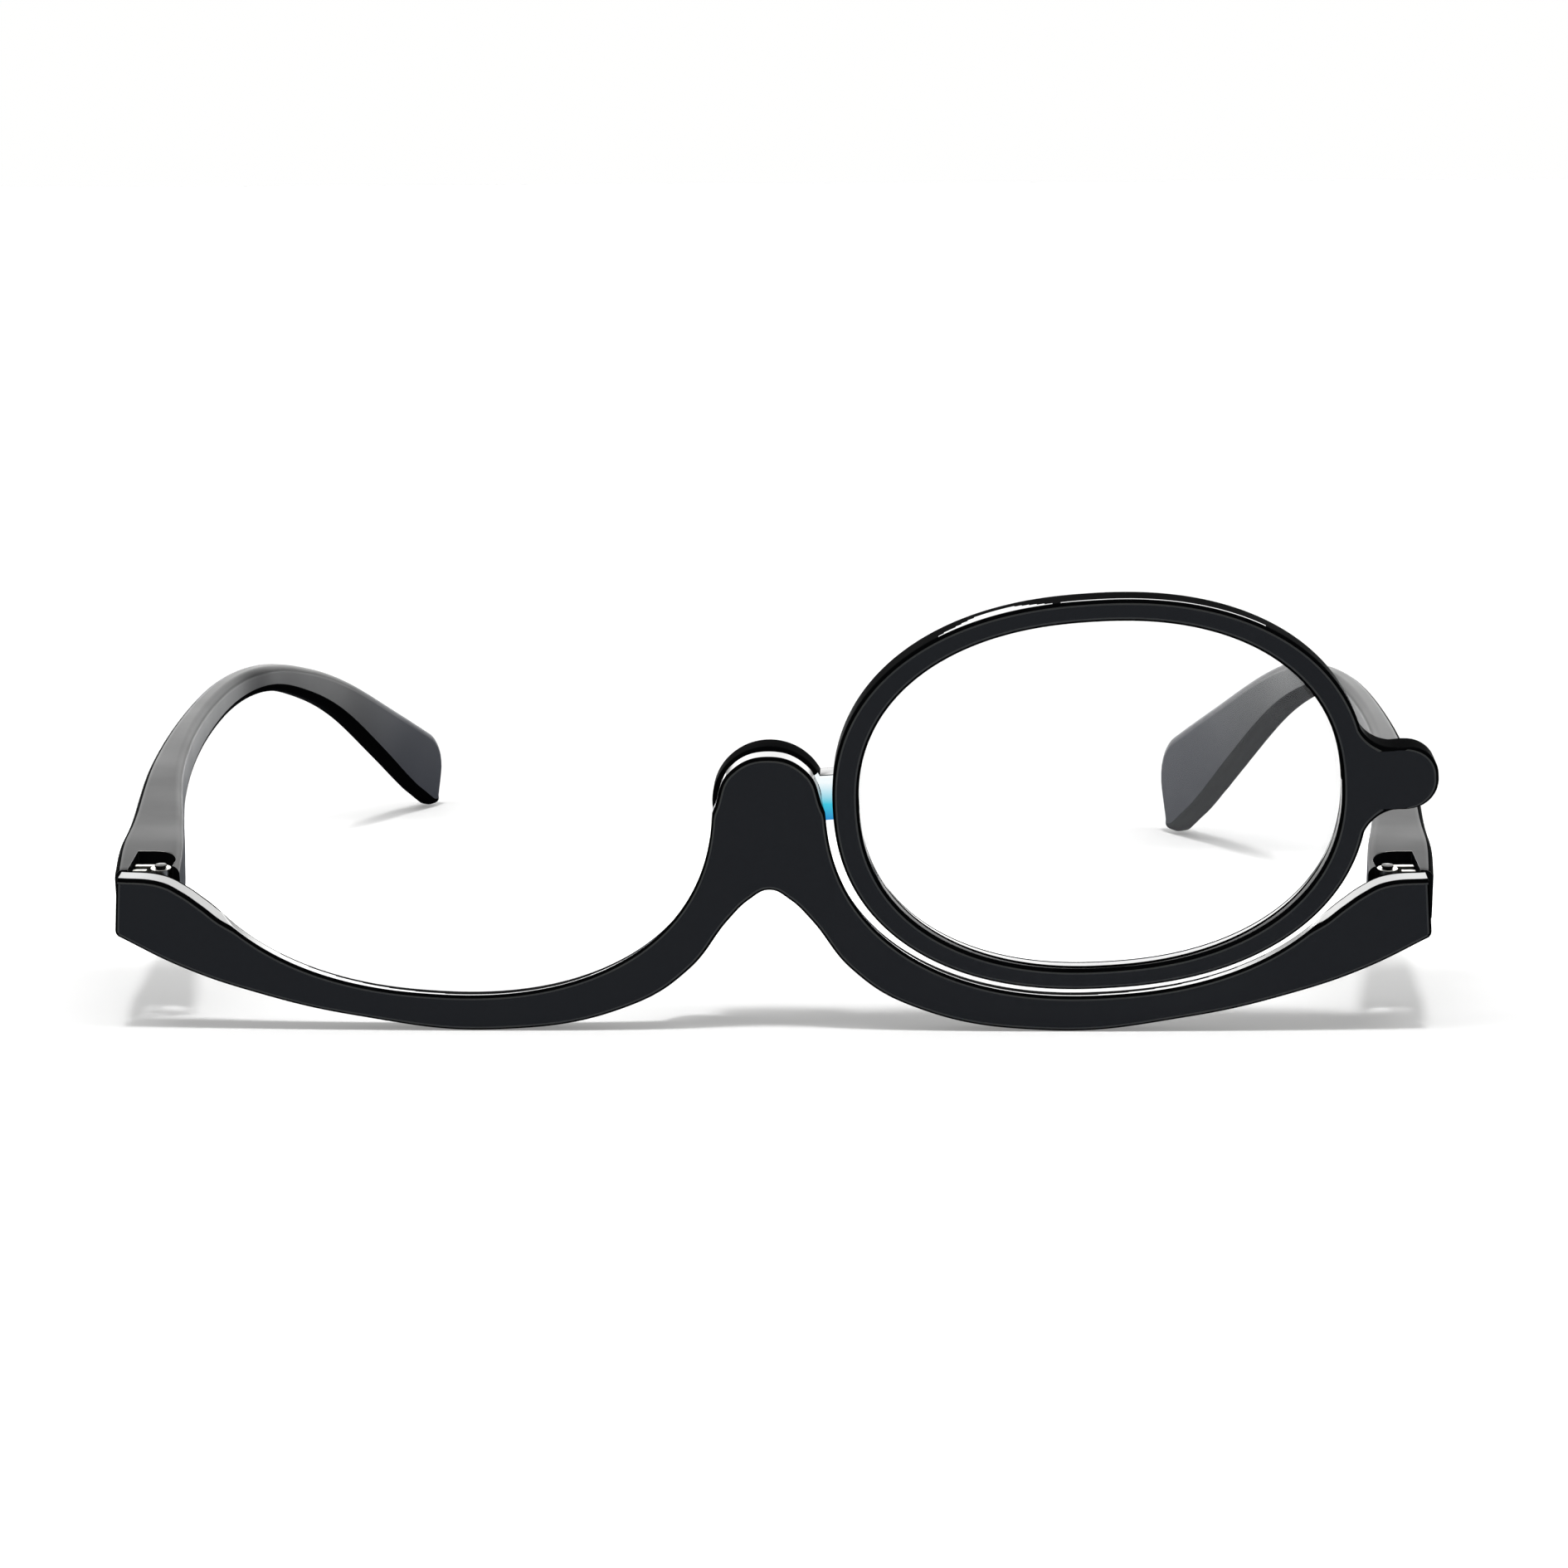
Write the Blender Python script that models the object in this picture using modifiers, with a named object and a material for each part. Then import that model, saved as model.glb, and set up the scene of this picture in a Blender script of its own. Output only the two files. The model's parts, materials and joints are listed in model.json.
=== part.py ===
"""Swing-lens reading glasses: a half-rim front, an oval lens that swings over the bridge, folding temples.

Sizes are in metres. The glasses are modelled with the front upright: X to the right, Y back, Z up, and the
lens pivot's axis through X = Z = 0 with the front face at Y = 0. An empty then leans it all on to the floor.
"""

from math import asin, cos, pi, radians, sin, tan

import bmesh
import bpy
from mathutils import Matrix, Vector

# Clearances
SEAT_GAP = 0.00015  # between a fixed piece and the pocket that it sits in
RUN_GAP = 0.00008  # round a turning pin, on the radius
SIDE_GAP = 0.0003  # between faces that slide past each other

# Front: two half-rim loops, the nose arch, the bridge tongue and the end pieces
FRONT_DEPTH = 0.0032
EDGE_RADIUS = 0.0005
TONGUE_RADIUS = 0.00585
TONGUE_DEPTH = 0.0024
ARCH_DROP = 0.0089  # from the pivot down to the top of the nose arch
ARCH_HALF_WIDTH = 0.0021
NEST_GAP = 0.0007  # between the rim and the loop that it drops into, at the front
NEST_DRAFT = 0.0006  # further gap at the back
END_LENGTH = 0.0067  # end piece beyond the rim
END_TOP_DROP = 0.0076  # from the pivot down to the end piece's top
END_HEIGHT = 0.0064
END_FLARE = 0.0005  # of the end's lower corner
END_LEVEL_LENGTH = 0.0048  # nearly level top of the end piece
# Directions round the lens centre, in degrees from +X, each with a distance outside the nest:
# the loop's lower edge, and the end piece's top where it runs down into the nest
LOOP_WIDTHS = (
    (204, 0.0050),
    (216, 0.0052),
    (229, 0.0051),
    (258, 0.0041),
    (292, 0.0037),
    (314, 0.0052),
    (326, 0.0075),
)
END_RUN_DOWN = ((339, 0.0017), (335, 0.0009), (329, 0.0003), (318, -0.0012))

# Nose pads moulded on the back of the arch
PAD_LENGTH = 0.0104
PAD_WIDTH = 0.0042
PAD_DEPTH = 0.0056
PAD_DIRECTION = 211
PAD_LEAN = 33
PAD_INSET = 0.0009  # outside the nest

# Swinging rim
OPENING_HALF_WIDTH = 0.02533
OPENING_HALF_HEIGHT = 0.01908
OVAL_EXPONENT = 2.25
RIM_SIDE = 0.0028
RIM_TOP = 0.0023
RIM_DEPTH = 0.0040
TONGUE_GAP = 0.0009  # between the tongue and the rim's end
REST_TILT = 2.3  # of the arm, in degrees
OVAL_TILT = 1.5  # of the oval on its arm
TAB_LENGTH = 0.0073  # beyond the rim
TAB_HEIGHT = 0.0067
TAB_FILLET = 0.0042
TAB_FLARE = 27  # direction in which the fillet leaves the rim, in degrees
TAB_CORNER = 0.0031
ARM_HEIGHT = 0.0050
HUB_RADIUS = 0.0061
HUB_DEPTH = 0.0034

# Lens
FRONT_CURVE = 0.1150
BACK_CURVE = 0.2130
LENS_EDGE = 0.0012  # thickness at the ends of the oval
LENS_SETBACK = 0.0025  # from the rim's face to the middle of that edge
GROOVE_DEPTH = 0.0009

# Pivot
WASHER_RADIUS = 0.0044
WASHER_DEPTH = 0.0004
INSERT_RADIUS = 0.0019
INSERT_DEPTH = 0.0015
PIVOT_PIN_RADIUS = 0.0009
PIVOT_HEAD_RADIUS = 0.0024
PIVOT_HEAD_DEPTH = 0.0008
SPRING_DEPTH = 0.0004

# Temples: distance behind the hinge axis, rise above it, height, thickness, and how far the outer face stands
# beyond the front's end
TEMPLE_STATIONS = (
    (0.0180, -0.0003, 0.0058, 0.0058, 0.0028),
    (0.0380, 0.0002, 0.0049, 0.0041, 0.0045),
    (0.0580, 0.0003, 0.0043, 0.0030, 0.0047),
    (0.0760, 0.0001, 0.0037, 0.0028, 0.0034),
    (0.0870, -0.0008, 0.0034, 0.0028, 0.0003),
    (0.0980, -0.0046, 0.0040, 0.0028, -0.0030),
    (0.1090, -0.0102, 0.0051, 0.0028, -0.0063),
    (0.1200, -0.0183, 0.0071, 0.0028, -0.0105),
)
BUTT_HEIGHT = 0.0062
BUTT_THICKNESS = 0.0069
BUTT_OUTSET = 0.0008
TIP_REACH = 0.1277  # hinge axis to the start of the slanted end
TIP_DROP = 0.0249
TIP_HEIGHT = 0.0087
TIP_THICKNESS = 0.0027
TIP_CORNER = 0.0040  # at the upper end of the slant
TIP_HEEL = 0.0008  # corner that stands on the floor
TIP_SLANT = 22  # of the end, in degrees from square
TIP_INSET = 0.0140  # outer face at the tip, in from the front's end
TEMPLE_EDGE = 0.0010
RIGHT_TURN = 1.4  # of the right temple at rest, in degrees from square

# Hinges
HINGE_INSET = 0.0038  # axis, in from the front's end
HINGE_SETBACK = 0.0025  # axis, behind the front's back face
HINGE_HEIGHT = 0.0052
KNUCKLE_RADIUS = 0.0011
LEAF_THICKNESS = 0.0006
ANCHOR_LENGTH = 0.0021
ANCHOR_THICKNESS = 0.0010
HINGE_PIN_RADIUS = 0.0005
HINGE_HEAD_RADIUS = 0.0010
HINGE_HEAD_HEIGHT = 0.0004
SLIP_RADIUS = 0.0010
SLIP_THICKNESS = 0.0002
POCKET_SKIN = 0.0006  # the hinge pocket's outer side, in from the front's end
POCKET_LENGTH = 0.0041  # hinge axis to the pocket's back wall
POCKET_CORNER = 0.0030  # between the back wall and the inner wall
INNER_WALL_REACH = 0.0008  # how far the pocket's inner wall runs in front of the hinge axis

# Facets
OVAL_POINTS = 60
RING_SHARES = (0.08, 0.4, 0.72, 1.0)  # of the lens's half width, from the middle to the edge
ROUND_SIDES = 28
SMALL_SIDES = 16
CURVE_STEPS = 5
TEMPLE_STEPS = 3
SHARP_ANGLE = 40
LEAN_STEPS = 40
TIP_SHARES = (0.4, 0.75, 1.0)  # of the turn round a temple tip's upper corner
SLIVER = 0.00004

# Worked out from the sizes above
RIM_HALF_WIDTH = OPENING_HALF_WIDTH + RIM_SIDE
RIM_HALF_HEIGHT = OPENING_HALF_HEIGHT + RIM_TOP
RIM_REACH = TONGUE_RADIUS + TONGUE_GAP + RIM_HALF_WIDTH
TILT = radians(REST_TILT + OVAL_TILT)
LENS_X = RIM_REACH * cos(radians(REST_TILT))
LENS_Z = RIM_REACH * sin(radians(REST_TILT))
FRONT_HALF_WIDTH = LENS_X + RIM_HALF_WIDTH + END_LENGTH
WASHER_FRONT = TONGUE_DEPTH + SEAT_GAP
HUB_FRONT = WASHER_FRONT + WASHER_DEPTH + SEAT_GAP
HUB_BACK = HUB_FRONT + HUB_DEPTH
HEAD_BACK = HUB_BACK - SEAT_GAP
HEAD_FRONT = HEAD_BACK - PIVOT_HEAD_DEPTH
SPRING_FRONT = HEAD_FRONT - SEAT_GAP - SPRING_DEPTH
HUB_FLOOR = SPRING_FRONT - SEAT_GAP
INSERT_FRONT = TONGUE_DEPTH - SEAT_GAP - INSERT_DEPTH
HINGE_X = FRONT_HALF_WIDTH - HINGE_INSET
HINGE_Y = FRONT_DEPTH + HINGE_SETBACK
HINGE_Z = -END_TOP_DROP - END_HEIGHT / 2
LEAF_WIDTH = HINGE_INSET - POCKET_SKIN - SIDE_GAP
ANCHOR_X = HINGE_X + (KNUCKLE_RADIUS + SIDE_GAP + LEAF_WIDTH) / 2
KNUCKLE_STEP = SLIP_THICKNESS + 2 * SEAT_GAP
KNUCKLE_HEIGHT = (HINGE_HEIGHT - 2 * KNUCKLE_STEP) / 3
BUTT_Y = FRONT_DEPTH + SIDE_GAP

COLLECTION_NAME = "swing_lens_glasses"

for old in list(bpy.data.objects):
    bpy.data.objects.remove(old)
parts = bpy.data.collections.new(COLLECTION_NAME)
cutters = bpy.data.collections.new("cutters")
bpy.context.scene.collection.children.link(parts)
bpy.context.scene.collection.children.link(cutters)
cutters.hide_render = True


def material(name, colour, roughness, metallic=0.0, transmission=0.0):
    made = bpy.data.materials.new(name)
    made.use_nodes = True
    shader = made.node_tree.nodes["Principled BSDF"]
    shader.inputs["Base Color"].default_value = (*colour, 1.0)
    shader.inputs["Roughness"].default_value = roughness
    shader.inputs["Metallic"].default_value = metallic
    shader.inputs["Transmission Weight"].default_value = transmission
    return made


BLACK = material("black_polycarbonate", (0.012, 0.013, 0.015), 0.18)
CLEAR = material("clear_resin", (0.98, 0.99, 0.98), 0.02, transmission=1.0)
STEEL = material("nickel_plated_steel", (0.62, 0.62, 0.60), 0.25, metallic=1.0)
BRASS = material("brass", (0.65, 0.47, 0.18), 0.30, metallic=1.0)
NYLON = material("natural_nylon", (0.72, 0.71, 0.66), 0.45)


def add_object(name, mesh, look=None):
    """A part with its material or, with no material, a cutter."""
    made = bpy.data.objects.new(name, mesh)
    if look is None:
        cutters.objects.link(made)
        made.hide_render = True
        made.display_type = "WIRE"
    else:
        parts.objects.link(made)
        mesh.materials.append(look)
    return made


def finish_mesh(name, shape):
    """A mesh from a bmesh, with its faces turned outwards."""
    bmesh.ops.recalc_face_normals(shape, faces=shape.faces)
    mesh = bpy.data.meshes.new(name)
    shape.to_mesh(mesh)
    shape.free()
    mesh.shade_smooth()
    mesh.set_sharp_from_angle(angle=radians(SHARP_ANGLE))
    return mesh


def box(name, low, high, look=None):
    shape = bmesh.new()
    size = [b - a for a, b in zip(low, high)]
    middle = [(a + b) / 2 for a, b in zip(low, high)]
    bmesh.ops.create_cube(shape, size=1.0, matrix=Matrix.Translation(middle) @ Matrix.Diagonal((*size, 1.0)))
    return add_object(name, finish_mesh(name, shape), look)


def sided_box(name, side, x_range, y_range, z_range, look=None):
    """A box on the left (side -1) or the right (side 1), with x_range measured from the middle outwards."""
    xs = sorted(side * x for x in x_range)
    return box(name, (xs[0], y_range[0], z_range[0]), (xs[1], y_range[1], z_range[1]), look)


def upright_rod(name, centre, radius, z_range, sides, look=None):
    shape = bmesh.new()
    middle = Matrix.Translation((centre[0], centre[1], (z_range[0] + z_range[1]) / 2))
    bmesh.ops.create_cone(
        shape,
        cap_ends=True,
        segments=sides,
        radius1=radius,
        radius2=radius,
        depth=z_range[1] - z_range[0],
        matrix=middle,
    )
    return add_object(name, finish_mesh(name, shape), look)


def level_rod(name, centre, radius, y_range, sides, look=None):
    """A rod along Y, through centre = (x, z)."""
    made = upright_rod(name, (0.0, 0.0), radius, y_range, sides, look)
    made.data.transform(Matrix.Translation((centre[0], 0.0, centre[1])) @ Matrix.Rotation(-pi / 2, 4, "X"))
    return made


def turned(name, profile, sides, look, level=False):
    """A closed (radius, height) profile turned about Z or, if level, about Y with its top to the back."""
    mesh = bpy.data.meshes.new(name)
    ends = [(i, (i + 1) % len(profile)) for i in range(len(profile))]
    if profile[0][0] == 0.0:
        ends = ends[:-1]
    mesh.from_pydata([(r, 0.0, z) for r, z in profile], ends, [])
    made = add_object(name, mesh, look)
    turn = made.modifiers.new("Turn", "SCREW")
    turn.steps = sides
    turn.render_steps = sides
    turn.use_merge_vertices = True
    turn.merge_threshold = 0.00001
    if level:
        made.rotation_euler.x = -pi / 2
    return made


def ring_profile(inner, outer, low, high):
    return [(outer, high), (outer, low), (inner, low), (inner, high)]


def weld(target):
    """Closes up the slivers that a cut or a rounding leaves."""
    closing = target.modifiers.new("Weld slivers", "WELD")
    closing.merge_threshold = SLIVER


def bevel(target, width, segments=2):
    weld(target)
    rounding = target.modifiers.new("Round edges", "BEVEL")
    rounding.width = width
    rounding.segments = segments
    rounding.limit_method = "ANGLE"
    rounding.angle_limit = radians(SHARP_ANGLE)
    weld(target)


def combine(target, other, operation="DIFFERENCE"):
    joint = target.modifiers.new(operation.title() + " " + other.name, "BOOLEAN")
    joint.operation = operation
    joint.solver = "EXACT"
    joint.object = other


def flat_plate(name, outlines, z_range, look=None, smooth=False):
    """A flat plate with its closed outlines in X and Y, between two heights."""
    curve = bpy.data.curves.new(name + "_outline", "CURVE")
    curve.dimensions = "2D"
    curve.fill_mode = "BOTH"
    curve.resolution_u = CURVE_STEPS
    curve.extrude = (z_range[1] - z_range[0]) / 2
    for points in outlines:
        if smooth:
            spline = curve.splines.new("BEZIER")
            spline.bezier_points.add(len(points) - 1)
            for knot, (x, y, kind) in zip(spline.bezier_points, points):
                knot.co = (x, y, 0.0)
                knot.handle_left_type = kind
                knot.handle_right_type = kind
        else:
            spline = curve.splines.new("POLY")
            spline.points.add(len(points) - 1)
            for knot, (x, y) in zip(spline.points, points):
                knot.co = (x, y, 0.0, 1.0)
        spline.use_cyclic_u = True
    drawn = bpy.data.objects.new(name + "_outline", curve)
    bpy.context.scene.collection.objects.link(drawn)
    graph = bpy.context.evaluated_depsgraph_get()
    mesh = bpy.data.meshes.new_from_object(drawn.evaluated_get(graph))
    bpy.data.objects.remove(drawn)
    bpy.data.curves.remove(curve)
    shape = bmesh.new()
    shape.from_mesh(mesh)
    bpy.data.meshes.remove(mesh)
    bmesh.ops.remove_doubles(shape, verts=shape.verts, dist=SLIVER / 10)
    bmesh.ops.dissolve_limit(shape, angle_limit=radians(0.5), verts=shape.verts, edges=shape.edges)
    bmesh.ops.translate(shape, vec=(0.0, 0.0, (z_range[0] + z_range[1]) / 2), verts=shape.verts)
    return add_object(name, finish_mesh(name, shape), look)


def upright_plate(name, outlines, y_range, look=None, smooth=False):
    """A flat plate with its closed outlines in X and Z, from its front y to its back y."""
    plate = flat_plate(name, outlines, (-y_range[1], -y_range[0]), look, smooth)
    plate.data.transform(Matrix.Rotation(pi / 2, 4, "X"))
    return plate


def loft(name, rings, look=None):
    """A closed skin over rings of equal length, capped at both ends."""
    shape = bmesh.new()
    rows = [[shape.verts.new(point) for point in ring] for ring in rings]
    count = len(rows[0])
    for first, second in zip(rows, rows[1:]):
        for i in range(count):
            j = (i + 1) % count
            shape.faces.new((first[i], first[j], second[j], second[i]))
    shape.faces.new(rows[0])
    shape.faces.new(rows[-1])
    return add_object(name, finish_mesh(name, shape), look)


def oval(half_width, half_height):
    """Points of the lens oval, a superellipse, about its own centre."""
    points = []
    for step in range(OVAL_POINTS):
        angle = 2 * pi * step / OVAL_POINTS
        c, s = cos(angle), sin(angle)
        x = abs(c) ** (2 / OVAL_EXPONENT) * half_width * (1 if c >= 0 else -1)
        z = abs(s) ** (2 / OVAL_EXPONENT) * half_height * (1 if s >= 0 else -1)
        points.append((x, z))
    return points


def oval_radius(half_width, half_height, direction):
    across = (abs(cos(direction)) / half_width) ** OVAL_EXPONENT
    upwards = (abs(sin(direction)) / half_height) ** OVAL_EXPONENT
    return (across + upwards) ** (-1 / OVAL_EXPONENT)


def beside_nest(direction, distance):
    """The point this far outside the right loop's nest, in a direction in degrees from the lens centre."""
    angle = radians(direction)
    reach = oval_radius(RIM_HALF_WIDTH + NEST_GAP, RIM_HALF_HEIGHT + NEST_GAP, angle - TILT) + distance
    return LENS_X + reach * cos(angle), LENS_Z + reach * sin(angle)


def empty(name, parent, location, tilt=0.0):
    made = bpy.data.objects.new(name, None)
    parts.objects.link(made)
    made.empty_display_size = 0.005
    made.parent = parent
    made.location = location
    made.rotation_euler.y = tilt
    return made


def attach(parent, offset, *pieces):
    """Hangs pieces, and the cutters and additions that shape them, on an empty, moved by offset."""
    for piece in pieces:
        for modifier in piece.modifiers:
            if modifier.type == "BOOLEAN":
                attach(parent, offset, modifier.object)
        if piece.parent is None:
            piece.parent = parent
            piece.location = piece.location + Vector(offset)


def front_outline():
    """The front's outline without its nests, as Bezier knots: the right half, and its mirror image."""
    end_top = -END_TOP_DROP
    end_bottom = end_top - END_HEIGHT
    half = [(ARCH_HALF_WIDTH, -ARCH_DROP - ARCH_HALF_WIDTH / 2, "AUTO")]
    half += [(*beside_nest(direction, width), "AUTO") for direction, width in LOOP_WIDTHS]
    half += [
        (FRONT_HALF_WIDTH + END_FLARE, end_bottom, "VECTOR"),
        (FRONT_HALF_WIDTH, end_top, "VECTOR"),
        (FRONT_HALF_WIDTH - END_LEVEL_LENGTH, end_top - EDGE_RADIUS, "AUTO"),
    ]
    half += [(*beside_nest(direction, distance), "AUTO") for direction, distance in END_RUN_DOWN]
    half += [
        (TONGUE_RADIUS + RIM_SIDE, -TONGUE_RADIUS, "VECTOR"),
        (TONGUE_RADIUS, 0.0, "AUTO"),
        (TONGUE_RADIUS * cos(pi / 4), TONGUE_RADIUS * sin(pi / 4), "AUTO"),
    ]
    mirrored = [(-x, z, kind) for x, z, kind in reversed(half)]
    return [(0.0, -ARCH_DROP, "AUTO"), *half, (0.0, TONGUE_RADIUS, "AUTO"), *mirrored]


def nest_cutter(side):
    """An oval plug that widens to the back."""
    rings = []
    for depth, gap in ((-1, NEST_GAP), (0, NEST_GAP), (2, NEST_GAP + 2 * NEST_DRAFT)):
        edge = oval(RIM_HALF_WIDTH + gap, RIM_HALF_HEIGHT + gap)
        rings.append([(x, depth * FRONT_DEPTH, z) for x, z in edge])
    cutter = loft("nest_cutter", rings)
    cutter.location = (side * LENS_X, 0.0, LENS_Z)
    cutter.rotation_euler.y = -side * TILT
    return cutter


def nose_pad(side):
    """A moulded pad on the back of the arch: an egg that leans with the side of the nose."""
    shape = bmesh.new()
    bmesh.ops.create_uvsphere(shape, u_segments=14, v_segments=10, radius=0.5)
    bmesh.ops.scale(shape, vec=(PAD_WIDTH, PAD_DEPTH, PAD_LENGTH), verts=shape.verts)
    pad = add_object("nose_pad", finish_mesh("nose_pad", shape))
    x, z = beside_nest(PAD_DIRECTION, PAD_INSET + PAD_WIDTH / 2)
    pad.location = (side * x, FRONT_DEPTH - EDGE_RADIUS / 3, z)
    pad.rotation_euler.y = -side * radians(PAD_LEAN)
    return pad


def make_front():
    front = upright_plate("front_frame", [front_outline()], (0.0, FRONT_DEPTH), BLACK, smooth=True)
    for side in (-1, 1):
        combine(front, nest_cutter(side))
    bevel(front, EDGE_RADIUS)
    # The hub turns in a round recess behind the tongue, and the brass bush sits in a blind pocket there.
    recess_radius = HUB_RADIUS + SIDE_GAP
    recess = (TONGUE_DEPTH, 2 * FRONT_DEPTH)
    combine(front, level_rod("hub_recess", (0, 0), recess_radius, recess, ROUND_SIDES))
    pocket = (INSERT_FRONT - SEAT_GAP, FRONT_DEPTH)
    combine(front, level_rod("insert_pocket", (0, 0), INSERT_RADIUS + SEAT_GAP, pocket, SMALL_SIDES))
    for side in (-1, 1):
        combine(front, nose_pad(side), "UNION")
        combine(front, front_anchor("front_anchor_slot", side, SEAT_GAP))
    return front


def front_anchor(name, side, grow):
    """The front leaf's anchor tongue or, grown by a gap, its slot in the end piece."""
    return sided_box(
        name,
        side,
        (ANCHOR_X - ANCHOR_THICKNESS / 2 - grow, ANCHOR_X + ANCHOR_THICKNESS / 2 + grow),
        (FRONT_DEPTH - ANCHOR_LENGTH - grow, HINGE_Y - KNUCKLE_RADIUS + LEAF_THICKNESS / 2 + grow),
        (HINGE_Z - HINGE_HEIGHT / 4 - grow, HINGE_Z + HINGE_HEIGHT / 4 + grow),
    )


def temple_anchor(name, side, grow):
    """The temple leaf's anchor tongue or, grown by a gap, its slot in the pocket's back wall."""
    back = HINGE_Y + POCKET_LENGTH
    return sided_box(
        name,
        side,
        (ANCHOR_X - ANCHOR_THICKNESS / 2 - grow, ANCHOR_X + ANCHOR_THICKNESS / 2 + grow),
        (HINGE_Y + KNUCKLE_RADIUS - LEAF_THICKNESS / 2 - grow, back + ANCHOR_LENGTH + grow),
        (HINGE_Z - HINGE_HEIGHT / 4 - grow, HINGE_Z + HINGE_HEIGHT / 4 + grow),
    )


def lens_rings(half_width, half_height, grow):
    """Rings of the meniscus from the middle of its front, over its edge, to the middle of its back."""
    front_vertex = LENS_SETBACK - LENS_EDGE / 2 - OPENING_HALF_WIDTH**2 / (2 * FRONT_CURVE) - grow
    back_vertex = LENS_SETBACK + LENS_EDGE / 2 - OPENING_HALF_WIDTH**2 / (2 * BACK_CURVE) + grow
    edge = oval(half_width, half_height)

    def ring(share, vertex, curve):
        points = [(x * share, z * share) for x, z in edge]
        return [(x, vertex + (x * x + z * z) / (2 * curve), z) for x, z in points]

    front = [ring(share, front_vertex, FRONT_CURVE) for share in RING_SHARES]
    back = [ring(share, back_vertex, BACK_CURVE) for share in reversed(RING_SHARES)]
    return front + back


def arc(centre, radius, start, end):
    """Points from the start to the end angle, in degrees."""
    points = []
    for step in range(CURVE_STEPS + 1):
        angle = radians(start + (end - start) * step / CURVE_STEPS)
        points.append((centre[0] + radius * cos(angle), centre[1] + radius * sin(angle)))
    return points


def rim_outline():
    """The rim's outer oval, with the finger tab flaring out of its right end."""
    tip = RIM_HALF_WIDTH + TAB_LENGTH
    half = TAB_HEIGHT / 2
    touch = half + TAB_FILLET * (1 - sin(radians(TAB_FLARE)))
    touch_x = RIM_HALF_WIDTH * (1 - (touch / RIM_HALF_HEIGHT) ** OVAL_EXPONENT) ** (1 / OVAL_EXPONENT)
    flare = touch_x + TAB_FILLET * cos(radians(TAB_FLARE))
    upper = [
        *arc((flare, half + TAB_FILLET), TAB_FILLET, 180 + TAB_FLARE, 270),
        *arc((tip - TAB_CORNER, half - TAB_CORNER), TAB_CORNER, 90, 0),
    ]
    lower = [(x, -z) for x, z in reversed(upper)]
    whole = oval(RIM_HALF_WIDTH, RIM_HALF_HEIGHT)
    left_of_tab = [(x, z) for x, z in whole if x < 0 or abs(z) > touch + SIDE_GAP]
    return [*upper, *lower, *reversed(left_of_tab)]


def make_rim():
    """The swinging rim, about the oval's centre: ring, finger tab, arm and hub."""
    rim = upright_plate(
        "lens_rim",
        [rim_outline(), oval(OPENING_HALF_WIDTH, OPENING_HALF_HEIGHT)],
        (0.0, RIM_DEPTH),
        BLACK,
    )
    bevel(rim, EDGE_RADIUS)
    groove = lens_rings(OPENING_HALF_WIDTH + GROOVE_DEPTH, OPENING_HALF_HEIGHT + GROOVE_DEPTH, SEAT_GAP)
    combine(rim, loft("lens_groove", groove))
    # The pivot, seen from the oval's centre
    pivot_x = -RIM_REACH * cos(radians(OVAL_TILT))
    pivot_z = RIM_REACH * sin(radians(OVAL_TILT))
    hub = level_rod("hub", (pivot_x, pivot_z), HUB_RADIUS, (HUB_FRONT, HUB_BACK), ROUND_SIDES)
    bevel(hub, EDGE_RADIUS, segments=1)
    arm_end = -OPENING_HALF_WIDTH - RIM_SIDE / 2
    arm = box(
        "arm",
        (pivot_x, HUB_FRONT, pivot_z - ARM_HEIGHT / 2),
        (arm_end, HUB_BACK, pivot_z + ARM_HEIGHT / 2),
    )
    bevel(arm, EDGE_RADIUS, segments=1)
    combine(hub, arm, "UNION")
    combine(rim, hub, "UNION")
    pin_hole = (HUB_FRONT - SEAT_GAP, HUB_BACK + SEAT_GAP)
    pivot = (pivot_x, pivot_z)
    combine(rim, level_rod("hub_bore", pivot, PIVOT_PIN_RADIUS + RUN_GAP, pin_hole, SMALL_SIDES))
    sink = (HUB_FLOOR, HUB_BACK + SEAT_GAP)
    combine(rim, level_rod("hub_sink", pivot, PIVOT_HEAD_RADIUS + SIDE_GAP, sink, SMALL_SIDES))
    return rim


def make_lens():
    edge = GROOVE_DEPTH - SEAT_GAP
    return loft("lens", lens_rings(OPENING_HALF_WIDTH + edge, OPENING_HALF_HEIGHT + edge, 0.0), CLEAR)


def make_pivot():
    bore = PIVOT_PIN_RADIUS + RUN_GAP
    insert = turned(
        "pivot_insert",
        ring_profile(bore, INSERT_RADIUS, INSERT_FRONT, TONGUE_DEPTH - SEAT_GAP),
        SMALL_SIDES,
        BRASS,
        level=True,
    )
    washer = turned(
        "pivot_washer",
        ring_profile(bore, WASHER_RADIUS, WASHER_FRONT, WASHER_FRONT + WASHER_DEPTH),
        SMALL_SIDES,
        NYLON,
        level=True,
    )
    spring = turned(
        "pivot_spring",
        ring_profile(bore, PIVOT_HEAD_RADIUS, SPRING_FRONT, SPRING_FRONT + SPRING_DEPTH),
        SMALL_SIDES,
        STEEL,
        level=True,
    )
    screw = turned(
        "pivot_screw",
        [
            (0.0, HEAD_BACK),
            (PIVOT_HEAD_RADIUS, HEAD_BACK),
            (PIVOT_HEAD_RADIUS, HEAD_FRONT),
            (PIVOT_PIN_RADIUS, HEAD_FRONT),
            (PIVOT_PIN_RADIUS, INSERT_FRONT),
            (0.0, INSERT_FRONT),
        ],
        SMALL_SIDES,
        STEEL,
        level=True,
    )
    return insert, washer, spring, screw


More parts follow.
